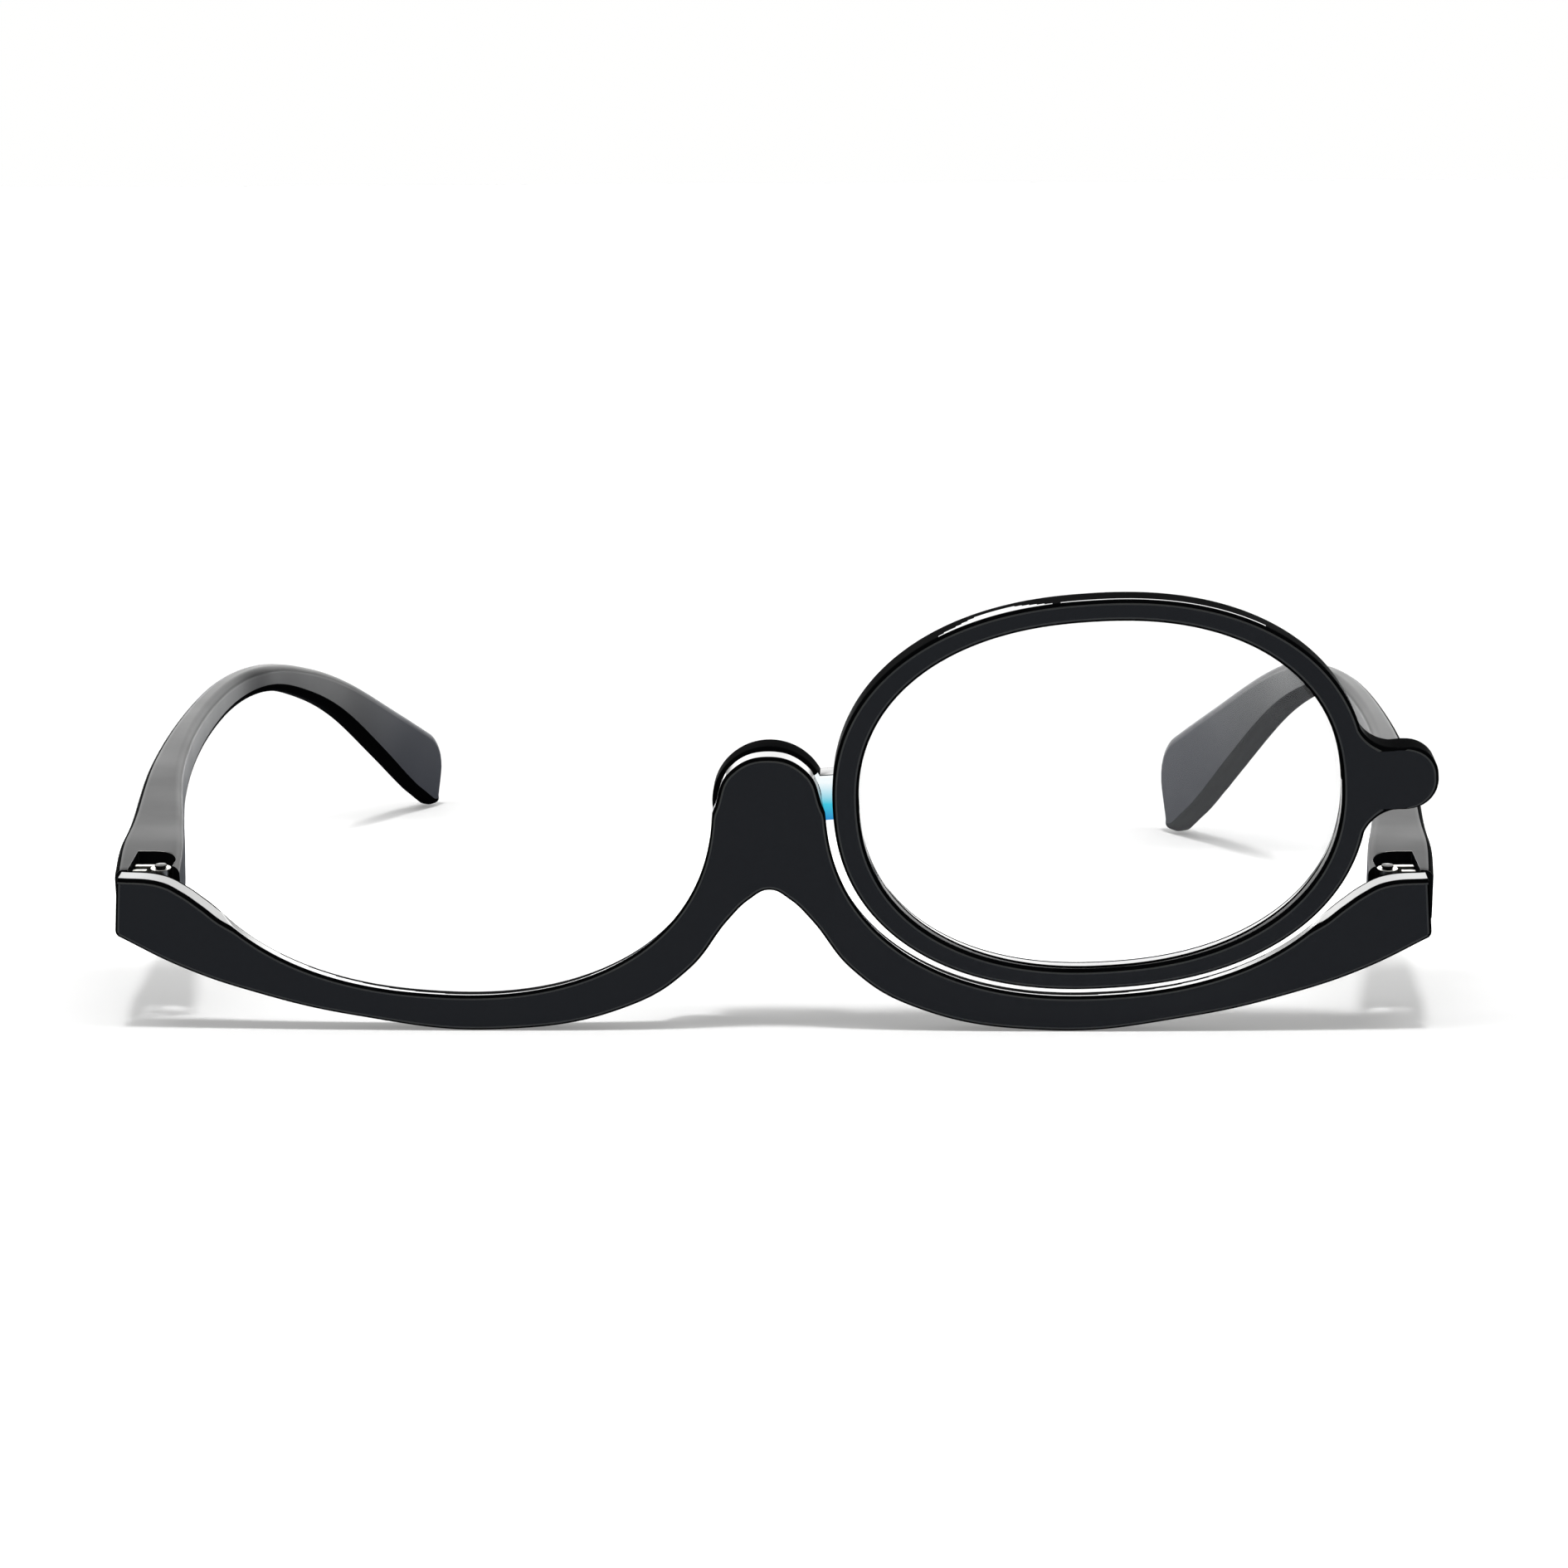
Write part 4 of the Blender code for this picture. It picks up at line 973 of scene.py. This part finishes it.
def nickel_steel(colour):
    """Nickel-plated steel: bright, with fine rolling marks and darker plate in patches."""
    made, shader = new_material("nickel_plated_steel")
    tree = made.node_tree
    marks = grain(tree, 0.0012, detail=4.0, stretch=(1.0, 1.0, 14.0))
    dull = [c * 0.72 for c in colour]
    vary(tree, shader, marks, (dull, colour), (0.26, 0.42))
    bump = add_node(tree, "ShaderNodeBump", {"Height": marks, "Strength": 0.3, "Distance": 0.000006})
    tree.links.new(bump.outputs[0], shader.inputs["Normal"])
    shader.inputs["Metallic"].default_value = 1.0
    return made


def black_oxide(colour):
    """Blackened steel: nearly black, with an oily sheen that varies with the oxide's thickness."""
    made, shader = new_material("black_oxide_steel")
    tree = made.node_tree
    worn = [c * 3.0 for c in colour]
    vary(tree, shader, grain(tree, 0.0004, detail=3.0), (colour, worn), (0.25, 0.4))
    shader.inputs["Metallic"].default_value = 1.0
    return made


def turned_brass(colour):
    """Turned brass: warm, with the lathe's fine rings dulled by handling."""
    made, shader = new_material("turned_brass")
    tree = made.node_tree
    rings = grain(tree, 0.0008, detail=3.0, stretch=(1.0, 9.0, 1.0))
    dull = [c * 0.7 for c in colour]
    vary(tree, shader, rings, (dull, colour), (0.2, 0.38))
    shader.inputs["Metallic"].default_value = 1.0
    return made


def natural_nylon(colour):
    """Natural nylon: milky, a little waxy, with light scattered under the surface."""
    made, shader = new_material("natural_nylon")
    tree = made.node_tree
    deep = [c * 0.86 for c in colour]
    vary(tree, shader, grain(tree, 0.002, detail=3.0), (deep, colour), (0.38, 0.55))
    shader.inputs["Subsurface Weight"].default_value = 0.2
    shader.inputs["Subsurface Radius"].default_value = (0.0006, 0.0006, 0.0005)
    shader.inputs["IOR"].default_value = 1.53
    return made


class GLASSES_OT_front(bpy.types.Operator):
    """Models the moulded front: two half-rim loops, end pieces, nose arch, pads and bridge tongue"""

    bl_idname = "glasses.front"
    bl_label = "Front"

    def execute(self, context):
        s = worked_out(context.scene)
        front = s.front
        outline = front_outline(s)
        rings = []
        for share in wall_levels():
            drafted = [clear_of_nests(s, point, share * front.nest_draft) for point in outline]
            rings.append([(x, share * front.depth, z) for x, z in drafted])
        piece = loft("front_moulding", rings)
        wear(piece, *plastics(context.scene.glasses_finish))
        round_edges(piece, front.edge, look=PAINTED_SHADE_LOOK)
        finish_faces(piece, front.depth, lambda x, z: self.polish(s, x, z))
        recess = s.rim.hub_radius + SIDE_GAP
        combine(piece, rod("hub_recess", recess, front.tongue_depth, 2 * front.depth, level=True))
        bush = s.pivot.insert_radius + SEAT_GAP
        combine(piece, rod("bush_pocket", bush, s.insert_front - SEAT_GAP, front.depth, level=True))
        for side in (-1, 1):
            combine(piece, self.nose_pad(s, side), "UNION")
            combine(piece, front_anchor(s, side, SEAT_GAP))
        settle(piece, None, "front", "black_plastic", "front_frame")
        return {"FINISHED"}

    def polish(self, s, x, z):
        """Most of the depth on the tongue and the ends, which see the backdrop, less in the loops; the rest
        is shaded.
        """
        if abs(x) < s.lens_x / 2:
            openness = ramp(z, -s.front.tongue_radius, 0.0)
        else:
            openness = ramp(abs(x), s.lens_x, s.lens_x + s.rim_half_width * OPEN_RUN)
        return SHADED_LINE + (OPEN_LINE - SHADED_LINE) * openness

    def nose_pad(self, s, side):
        """An egg on the back of the arch that leans with the side of the nose."""
        front = s.front
        x, z = beside_nest(s, front.pad_direction, front.pad_inset + front.pad_width / 2)
        bpy.ops.object.select_all(action="DESELECT")
        bpy.ops.mesh.primitive_uv_sphere_add(segments=48, ring_count=32, radius=0.5)
        pad = bpy.context.object
        pad.data.transform(
            Matrix.Translation((side * x, front.depth - front.edge * PAD_SINK, z))
            @ Matrix.Rotation(-side * front.pad_lean, 4, "Y")
            @ Matrix.Diagonal((front.pad_width, front.pad_depth, front.pad_length, 1.0))
        )
        return pad


def front_anchor(s, side, grow):
    """The front leaf's anchor tongue or, grown by a gap, its slot in the end piece."""
    hinge = s.hinge
    half = hinge.anchor_thickness / 2 + grow
    quarter = hinge.height / 4 + grow
    xs = sorted((side * (s.anchor_x - half), side * (s.anchor_x + half)))
    back = s.hinge_y - hinge.knuckle_radius + hinge.leaf / 2 + grow
    return block(
        "front_anchor",
        (xs[0], s.front.depth - hinge.anchor_length - grow, s.hinge_z - quarter),
        (xs[1], back, s.hinge_z + quarter),
    )


def temple_anchor(s, grow):
    """The right temple leaf's anchor tongue or, grown by a gap, its slot in the pocket's back wall."""
    hinge = s.hinge
    half = hinge.anchor_thickness / 2 + grow
    quarter = hinge.height / 4 + grow
    front = s.hinge_y + hinge.knuckle_radius - hinge.leaf / 2 - grow
    back = s.hinge_y + hinge.pocket_length + hinge.anchor_length + grow
    return block(
        "temple_anchor",
        (s.anchor_x - half, front, s.hinge_z - quarter),
        (s.anchor_x + half, back, s.hinge_z + quarter),
    )


class GLASSES_OT_rim(bpy.types.Operator):
    """Models the swinging rim: grooved oval, finger tab, arm and hub"""

    bl_idname = "glasses.rim"
    bl_label = "Lens rim"

    def execute(self, context):
        s = worked_out(context.scene)
        rim = s.rim
        outer = rim_outline(s)
        inner = []
        for x, z in outer:
            direction = atan2(z, x)
            reach = oval_radius(rim.opening_half_width, rim.opening_half_height, rim.exponent, direction)
            inner.append((reach * cos(direction), reach * sin(direction)))
        levels = [share * rim.depth for share in wall_levels()]
        piece = ring_body("rim_moulding", outer, inner, levels)
        wear(piece, *plastics(context.scene.glasses_finish), painted_arm_glint())
        round_edges(piece, rim.edge, look=PAINTED_SHADE_LOOK)
        finish_faces(piece, rim.depth, lambda x, z: self.polish(s, x, z))
        combine(piece, loft("lens_groove", lens_rings(s, SEAT_GAP, rim.groove)))
        self.add_hub(s, piece)
        piece.data.transform(s.oval_place)
        self.shade_hub(s, piece)
        settle(piece, None, "lens_arm", "black_plastic", "lens_rim")
        return {"FINISHED"}

    def polish(self, s, x, z):
        """Most of the depth round the lower inside, half at the upper left, then a thin line; the rest is
        shaded.
        """
        rim = s.rim
        if z < 0:
            opening = oval_radius(rim.opening_half_width, rim.opening_half_height, rim.exponent, atan2(z, x))
            return OPEN_LINE if hypot(x, z) < opening + rim.top / 2 else SHADED_LINE
        place = x / rim.opening_half_width
        white = ramp(place, *WHITE_LEFT) * ramp(place, *WHITE_RIGHT)
        thin = ramp(place, *THIN_LEFT) * ramp(place, *THIN_RIGHT)
        return max(white * HALF_LINE, thin * THIN_LINE)

    def shade_hub(self, s, piece):
        """Paints shade on the hub, and a blue glint on the arm's front between the tongue and the rim."""
        left = s.front.tongue_radius - s.rim.tongue_gap
        right = s.front.tongue_radius + s.rim.tongue_gap
        for face in piece.data.polygons:
            x, y, z = face.center
            if x > right or y < s.front.tongue_depth:
                continue
            face.material_index = PAINTED_SHADE_LOOK
            if x > left and face.normal.y < -STEEP and abs(z) < s.rim.arm_height:
                face.material_index = PAINTED_GLINT_LOOK

    def add_hub(self, s, piece):
        """The hub behind the tongue and the arm from it to the rim, with the screw's bore and sink."""
        rim = s.rim
        pivot = Matrix.Translation((-s.rim_reach * cos(rim.oval_tilt), 0.0, s.rim_reach * sin(rim.oval_tilt)))
        hub = rod("hub", rim.hub_radius, s.hub_front, s.hub_back, level=True)
        round_edges(hub, rim.edge)
        arm_end = s.rim_reach - rim.opening_half_width - rim.side / 2
        arm = block("arm", (0.0, s.hub_front, -rim.arm_height / 2), (arm_end, s.hub_back, rim.arm_height / 2))
        round_edges(arm, rim.edge)
        combine(hub, arm, "UNION")
        hub.data.transform(pivot)
        combine(piece, hub, "UNION")
        bore = s.pivot.pin_radius + RUN_GAP
        sink = s.pivot.head_radius + SIDE_GAP
        for radius, front in ((bore, s.hub_front - SEAT_GAP), (sink, s.hub_floor)):
            hole = rod("hub_hole", radius, front, s.hub_back + SEAT_GAP, level=True)
            hole.data.transform(pivot)
            combine(piece, hole)


class GLASSES_OT_lens(bpy.types.Operator):
    """Models the +2 lens that sits in the rim's groove"""

    bl_idname = "glasses.lens"
    bl_label = "Lens"

    def execute(self, context):
        s = worked_out(context.scene)
        piece = loft("resin_lens", lens_rings(s, 0.0, s.rim.groove - SEAT_GAP))
        piece.data.transform(s.oval_place)
        settle(piece, clear_resin(context.scene.glasses_finish.lens), "lens_arm", "clear_lens", "lens")
        return {"FINISHED"}


class GLASSES_OT_pivot(bpy.types.Operator):
    """Models the pivot: brass bush, nylon washer, spring washer and slotted screw"""

    bl_idname = "glasses.pivot"
    bl_label = "Pivot"

    def execute(self, context):
        s = worked_out(context.scene)
        finish = context.scene.glasses_finish
        pivot = s.pivot
        bore = pivot.pin_radius + RUN_GAP
        fine = SEAT_GAP / 3
        steel = nickel_steel(finish.steel)
        bush = (pivot.insert_radius, s.insert_front, pivot.insert_depth)
        slip_ring = (pivot.washer_radius, s.washer_front, pivot.washer_depth)
        spring_ring = (pivot.head_radius, s.spring_front, pivot.spring_depth)
        rings = (
            ("pivot_bush", bush, "brass", "pivot_insert"),
            ("pivot_slip_ring", slip_ring, "nylon", "pivot_washer"),
            ("pivot_spring_ring", spring_ring, "steel", "pivot_spring"),
        )
        looks = {"brass": turned_brass(finish.brass), "nylon": natural_nylon(finish.nylon), "steel": steel}
        for name, (radius, front, depth), slot, node in rings:
            back = front + depth
            piece = turned(name, [(bore, front), (radius, front), (radius, back), (bore, back)], level=True)
            round_edges(piece, fine, segments=2)
            settle(piece, looks[slot], "front", slot, node)
        screw = slotted_screw(
            "pivot_slotted_screw",
            (pivot.pin_radius, s.insert_front, s.head_front),
            (pivot.head_radius, s.head_back),
            fine,
        )
        screw.data.transform(Matrix.Rotation(-pi / 2, 4, "X"))
        settle(screw, steel, "front", "steel", "pivot_screw")
        return {"FINISHED"}


def slotted_screw(name, shank, head, fine):
    """A screw along Z: (radius, low, high) of its shank, (radius, high) of its head, and a slot across."""
    pin, low, under = shank
    radius, top = head
    profile = [(0.0, low), (pin, low), (pin, under), (radius, under), (radius, top), (0.0, top)]
    screw = turned(name, profile)
    round_edges(screw, fine, segments=2)
    half_slot = radius * SLOT_HALF_WIDTH
    floor = top - (top - under) * SLOT_DEPTH
    combine(screw, block("slot", (-2 * radius, -half_slot, floor), (2 * radius, half_slot, top + radius)))
    return screw


class GLASSES_OT_temples(bpy.types.Operator):
    """Models the two temples, lofted from the hinge pocket to the rounded tip"""

    bl_idname = "glasses.temples"
    bl_label = "Temples"

    def execute(self, context):
        s = worked_out(context.scene)
        finish = context.scene.glasses_finish
        hinge = s.hinge
        right = loft("right_temple_moulding", temple_rings(s))
        satin = satin_plastic(finish.plastic, finish.painted_tip_light)
        looks = satin, painted_shade_plastic(finish.plastic), painted_highlight_plastic(finish.edge_highlight)
        wear(right, *looks, nickel_steel(finish.steel))
        self.outline(right)
        low = s.hinge_z - s.temple.butt_height
        high = s.hinge_z + s.temple.butt_height
        combine(right, plan_plate("pocket", pocket_outline(s), low, high))
        inner = s.hinge_x - hinge.knuckle_radius
        combine(
            right,
            block(
                "wall_relief",
                (s.hinge_x - s.temple.butt_thickness, s.front.depth - SIDE_GAP, low),
                (inner, s.hinge_y - hinge.wall_reach, high),
            ),
        )
        # The pocket's rounded edges take the painted highlight look
        round_edges(right, hinge.pocket_edge, segments=4, clamp=True, look=PAINTED_HIGHLIGHT_LOOK)
        self.paint_plate_highlight(s, right)
        combine(right, temple_anchor(s, SEAT_GAP))
        left = mirrored(right, "left_temple_moulding")
        right.data.transform(right_turn(s))
        settle(right, None, "right_arm", "black_plastic", "right_temple")
        settle(left, None, "left_arm", "black_plastic", "left_temple")
        return {"FINISHED"}

    def paint_plate_highlight(self, s, temple):
        """A painted highlight: the rounded top edge of the pocket's back wall takes the steel look."""
        back = s.hinge_y + s.hinge.pocket_length - s.hinge.pocket_edge
        for face in temple.data.polygons:
            if face.material_index == PAINTED_HIGHLIGHT_LOOK and face.normal.z > UPWARD and face.center.y > back:
                face.material_index = PLATE_HIGHLIGHT_LOOK

    def outline(self, temple):
        """Paints shade on the outer top corner's outside and the whole underside, to read as dark lines."""
        places = temple.data.attributes["place"].data
        corner = CORNER_STEPS + 1
        for face in temple.data.polygons:
            numbers = {places[i].value for i in face.vertices}
            if len(numbers) == 2 and (max(numbers) <= corner - 3 or min(numbers) >= 2 * corner):
                face.material_index = PAINTED_SHADE_LOOK


class GLASSES_OT_hinges(bpy.types.Operator):
    """Models both hinges: rolled leaves, slotted screws and slip washers"""

    bl_idname = "glasses.hinges"
    bl_label = "Hinges"

    def execute(self, context):
        s = worked_out(context.scene)
        finish = context.scene.glasses_finish
        hinge = s.hinge
        steel = nickel_steel(finish.steel)
        nylon = natural_nylon(finish.nylon)
        fine = SEAT_GAP / 3
        low, middle, high = knuckle_levels(s)
        ends = [(low[0] - SIDE_GAP, middle[0]), (middle[1], high[1] + SIDE_GAP)]
        front_leaf = self.leaf(s, "right_front_rolled_leaf", -1, ends, front_anchor(s, 1, 0.0))
        temple_leaf = self.leaf(s, "right_temple_rolled_leaf", 1, [(low[1], high[0])], temple_anchor(s, 0.0))
        head_low = high[1] + SEAT_GAP
        screw = slotted_screw(
            "right_hinge_slotted_screw",
            (hinge.pin_radius, low[0], head_low),
            (hinge.head_radius, head_low + hinge.head_height),
            fine,
        )
        axis = Matrix.Translation((s.hinge_x, s.hinge_y, 0.0))
        screw.data.transform(axis)
        made = [
            (front_leaf, steel, "front", "steel", "front_leaf"),
            (temple_leaf, steel, "arm", "steel", "temple_leaf"),
            (screw, black_oxide(finish.oxide), "front", "steel", "hinge_screw"),
        ]
        for place, level in (("lower", low), ("upper", middle)):
            bottom = level[1] + SEAT_GAP
            top = bottom + hinge.slip_thickness
            bore = hinge.pin_radius + RUN_GAP
            profile = [(bore, bottom), (hinge.slip_radius, bottom), (hinge.slip_radius, top), (bore, top)]
            washer = turned(f"right_{place}_slip_ring", profile)
            round_edges(washer, fine, segments=2)
            washer.data.transform(axis)
            made.append((washer, nylon, "front", "nylon", f"{place}_slip_washer"))
        for piece, look, body, slot, node in made:
            left = mirrored(piece, piece.name.replace("right_", "left_"))
            if body == "arm":
                piece.data.transform(right_turn(s))
            for copy, side in ((piece, "right_"), (left, "left_")):
                settle(copy, look, body.replace("arm", side + "arm"), slot, side + node)
        return {"FINISHED"}

    def leaf(self, s, name, direction, notches, anchor):
        """A rolled leaf with its anchor, notched where the other leaf's knuckles go."""
        hinge = s.hinge
        low = s.hinge_z - hinge.height / 2
        high = s.hinge_z + hinge.height / 2
        leaf = plan_plate(name, hook_outline(s, direction), low, high)
        reach = hinge.knuckle_radius + SIDE_GAP
        for bottom, top in notches:
            combine(
                leaf,
                block(
                    "notch",
                    (s.hinge_x - reach, s.hinge_y - reach, bottom),
                    (s.hinge_x + reach, s.hinge_y + reach, top),
                ),
            )
        combine(leaf, anchor, "UNION")
        bore = rod("bore", hinge.pin_radius + RUN_GAP, low - SIDE_GAP, high + SIDE_GAP)
        bore.data.transform(Matrix.Translation((s.hinge_x, s.hinge_y, 0.0)))
        combine(leaf, bore)
        round_edges(leaf, SEAT_GAP / 2, segments=2, clamp=True)
        return leaf


class GLASSES_OT_stage(bpy.types.Operator):
    """Sets the pale floor, the soft light and the camera"""

    bl_idname = "glasses.stage"
    bl_label = "Stage"

    def execute(self, context):
        scene = context.scene
        stage = scene.glasses_stage
        bpy.ops.object.select_all(action="DESELECT")
        bpy.ops.mesh.primitive_plane_add(size=stage.floor_size)
        floor = context.object
        floor.name = "floor"
        floor.data.materials.append(self.floor_look(scene.glasses_finish.floor))
        self.light(context)
        self.surroundings(scene)
        bpy.ops.object.camera_add()
        camera = context.object
        camera.data.lens = stage.focal
        camera.data.sensor_width = 36.0
        camera.data.clip_start = 0.01
        camera.matrix_world = (
            Matrix.Translation((stage.camera_x, stage.camera_y, stage.camera_z))
            @ Matrix.Rotation(stage.yaw, 4, "Z")
            @ Matrix.Rotation(pi / 2 - stage.pitch, 4, "X")
            @ Matrix.Rotation(stage.roll, 4, "Z")
        )
        scene.camera = camera
        scene.view_settings.view_transform = "Standard"
        return {"FINISHED"}

    def floor_look(self, colour):
        """Matt white paper that keeps the shadow, with a little light that lifts it to the background."""
        made, shader = new_material("white_paper")
        tree = made.node_tree
        fibre = grain(tree, 0.0015, detail=3.0)
        pale = (*[c * 0.995 for c in colour], 1.0)
        paper = add_node(tree, "ShaderNodeMix", {0: fibre, 6: pale, 7: (*colour, 1.0)}, data_type="RGBA")
        gloss = seen_in_gloss(tree)
        # In what the gloss mirrors the floor takes a dim blue-grey instead: a painted reflection
        dim = (*linear("#9aa0ab"), 1.0)
        sheet = add_node(tree, "ShaderNodeMix", {0: gloss, 6: paper.outputs[2], 7: dim}, data_type="RGBA")
        tree.links.new(sheet.outputs[2], shader.inputs["Base Color"])
        shader.inputs["Roughness"].default_value = 1.0
        shader.inputs["Specular IOR Level"].default_value = 0.0
        shader.inputs["Emission Color"].default_value = (1.0, 1.0, 0.99, 1.0)
        where = add_node(tree, "ShaderNodeTexCoord")
        split = add_node(tree, "ShaderNodeSeparateXYZ", {"Vector": where.outputs["Object"]})
        back = split.outputs["Y"]
        # The floor behind the glasses is lit with the backdrop, which shows in the temples' inner faces.
        far = add_node(tree, "ShaderNodeMapRange", (back, *GLOW_EDGE, 0.0, GLOW_LIGHT), **SOFT)
        glow = add_node(tree, "ShaderNodeMath", (gloss, far), operation="MULTIPLY")
        starts = add_node(tree, "ShaderNodeMapRange", (back, *WASH_FRONT, 0.0, WASH_LIFT), **SOFT)
        stops = add_node(tree, "ShaderNodeMapRange", (back, *WASH_BACK), **SOFT)
        own_light = add_node(tree, "ShaderNodeMath", (starts, stops, FLOOR_LIFT), operation="MULTIPLY_ADD")
        seen = seen_directly(tree)
        lift = add_node(tree, "ShaderNodeMath", (seen, own_light, glow), operation="MULTIPLY_ADD")
        tree.links.new(lift.outputs[0], shader.inputs["Emission Strength"])
        return made

    def light(self, context):
        """A strip of soft light overhead, from side to side, with a harder lamp in its middle."""
        lamps = [(tilt, STRIP_WIDTH, STRIP_LIGHT / len(STRIP_TILTS)) for tilt in STRIP_TILTS]
        for tilt, width, energy in [*lamps, (0.0, KEY_WIDTH, KEY_LIGHT)]:
            bpy.ops.object.light_add(type="SUN", location=(0.0, 0.0, 1.0), rotation=(STRIP_LEAN, tilt, 0.0))
            lamp = context.object
            lamp.name = "overhead_light"
            lamp.data.energy = energy
            lamp.data.angle = width
            lamp.visible_glossy = False

    def surroundings(self, scene):
        """A white backdrop with a bright window low in it, a lit ceiling and a dim room in front."""
        world = bpy.data.worlds.new("studio")
        world.use_nodes = True
        scene.world = world
        tree = world.node_tree
        backdrop = tree.nodes["Background"]
        where = add_node(tree, "ShaderNodeTexCoord")
        split = add_node(tree, "ShaderNodeSeparateXYZ", {"Vector": where.outputs["Generated"]})
        back, up = split.outputs["Y"], split.outputs["Z"]
        lower = sin(WINDOW_LOW - WINDOW_SOFT), sin(WINDOW_LOW + WINDOW_SOFT)
        upper = sin(WINDOW_HIGH + WINDOW_SOFT), sin(WINDOW_HIGH - WINDOW_SOFT)
        behind = add_node(tree, "ShaderNodeMapRange", (back, *BACKDROP_EDGE, DIM_LIGHT, 1.0), **SOFT)
        across = add_node(tree, "ShaderNodeMapRange", (back, *WINDOW_EDGE, 0.0, WINDOW_LIGHT), **SOFT)
        rises = add_node(tree, "ShaderNodeMapRange", (up, *lower), **SOFT)
        ends = add_node(tree, "ShaderNodeMapRange", (up, *upper), **SOFT)
        band = add_node(tree, "ShaderNodeMath", (rises, ends), operation="MULTIPLY")
        window = add_node(tree, "ShaderNodeMath", (band, across), operation="MULTIPLY")
        overhead = add_node(tree, "ShaderNodeMapRange", (up, *OVERHEAD_EDGE, 0.0, OVERHEAD_LIGHT), **SOFT)
        lit = add_node(tree, "ShaderNodeMath", (overhead, window), operation="MAXIMUM")
        mirrored_room = add_node(tree, "ShaderNodeMath", (behind, lit), operation="MAXIMUM")
        room = add_node(tree, "ShaderNodeMix", {0: seen_in_gloss(tree), 2: ROOM_LIGHT, 3: mirrored_room})
        whole = add_node(tree, "ShaderNodeMix", {0: seen_directly(tree), 2: room, 3: 1.0})
        backdrop.inputs["Color"].default_value = (1.0, 1.0, 0.995, 1.0)
        tree.links.new(whole.outputs[0], backdrop.inputs["Strength"])


def seen_directly(tree):
    """1 for what the camera sees, also through the lens."""
    path = add_node(tree, "ShaderNodeLightPath")
    rays = path.outputs["Is Camera Ray"], path.outputs["Is Transmission Ray"]
    return add_node(tree, "ShaderNodeMath", rays, operation="MAXIMUM")


def seen_in_gloss(tree):
    """1 for what is mirrored in a surface, but not for what is seen through the lens."""
    path = add_node(tree, "ShaderNodeLightPath")
    rays = path.outputs["Is Glossy Ray"], path.outputs["Is Transmission Ray"]
    return add_node(tree, "ShaderNodeMath", rays, operation="SUBTRACT", use_clamp=True)


PIECES = (
    GLASSES_OT_front,
    GLASSES_OT_rim,
    GLASSES_OT_lens,
    GLASSES_OT_pivot,
    GLASSES_OT_temples,
    GLASSES_OT_hinges,
    GLASSES_OT_stage,
)


class GLASSES_PT_panel(bpy.types.Panel):
    """Lists the pieces and the sizes that they are made to"""

    bl_label = "Glasses"
    bl_idname = "GLASSES_PT_panel"
    bl_space_type = "VIEW_3D"
    bl_region_type = "UI"
    bl_category = "Glasses"

    def draw(self, context):
        for piece in PIECES:
            self.layout.operator(piece.bl_idname)
        for name in GROUPS:
            box = self.layout.box()
            group = getattr(context.scene, name)
            for setting in group.bl_rna.properties.keys():
                if setting not in ("rna_type", "name"):
                    box.prop(group, setting)


GROUPS = {
    "glasses_front": FrontSizes,
    "glasses_rim": RimSizes,
    "glasses_pivot": PivotSizes,
    "glasses_temple": TempleSizes,
    "glasses_hinge": HingeSizes,
    "glasses_finish": Finishes,
    "glasses_stage": StageSettings,
}


def register():
    for made in (*GROUPS.values(), *PIECES, GLASSES_PT_panel):
        bpy.utils.register_class(made)
    for name, group in GROUPS.items():
        setattr(bpy.types.Scene, name, PointerProperty(type=group))


def unregister():
    for name in GROUPS:
        delattr(bpy.types.Scene, name)
    for made in (*GROUPS.values(), *PIECES, GLASSES_PT_panel):
        bpy.utils.unregister_class(made)


def main():
    register()
    bpy.ops.glasses.front()
    bpy.ops.glasses.rim()
    bpy.ops.glasses.lens()
    bpy.ops.glasses.pivot()
    bpy.ops.glasses.temples()
    bpy.ops.glasses.hinges()
    bpy.ops.glasses.stage()


if __name__ == "__main__":
    main()
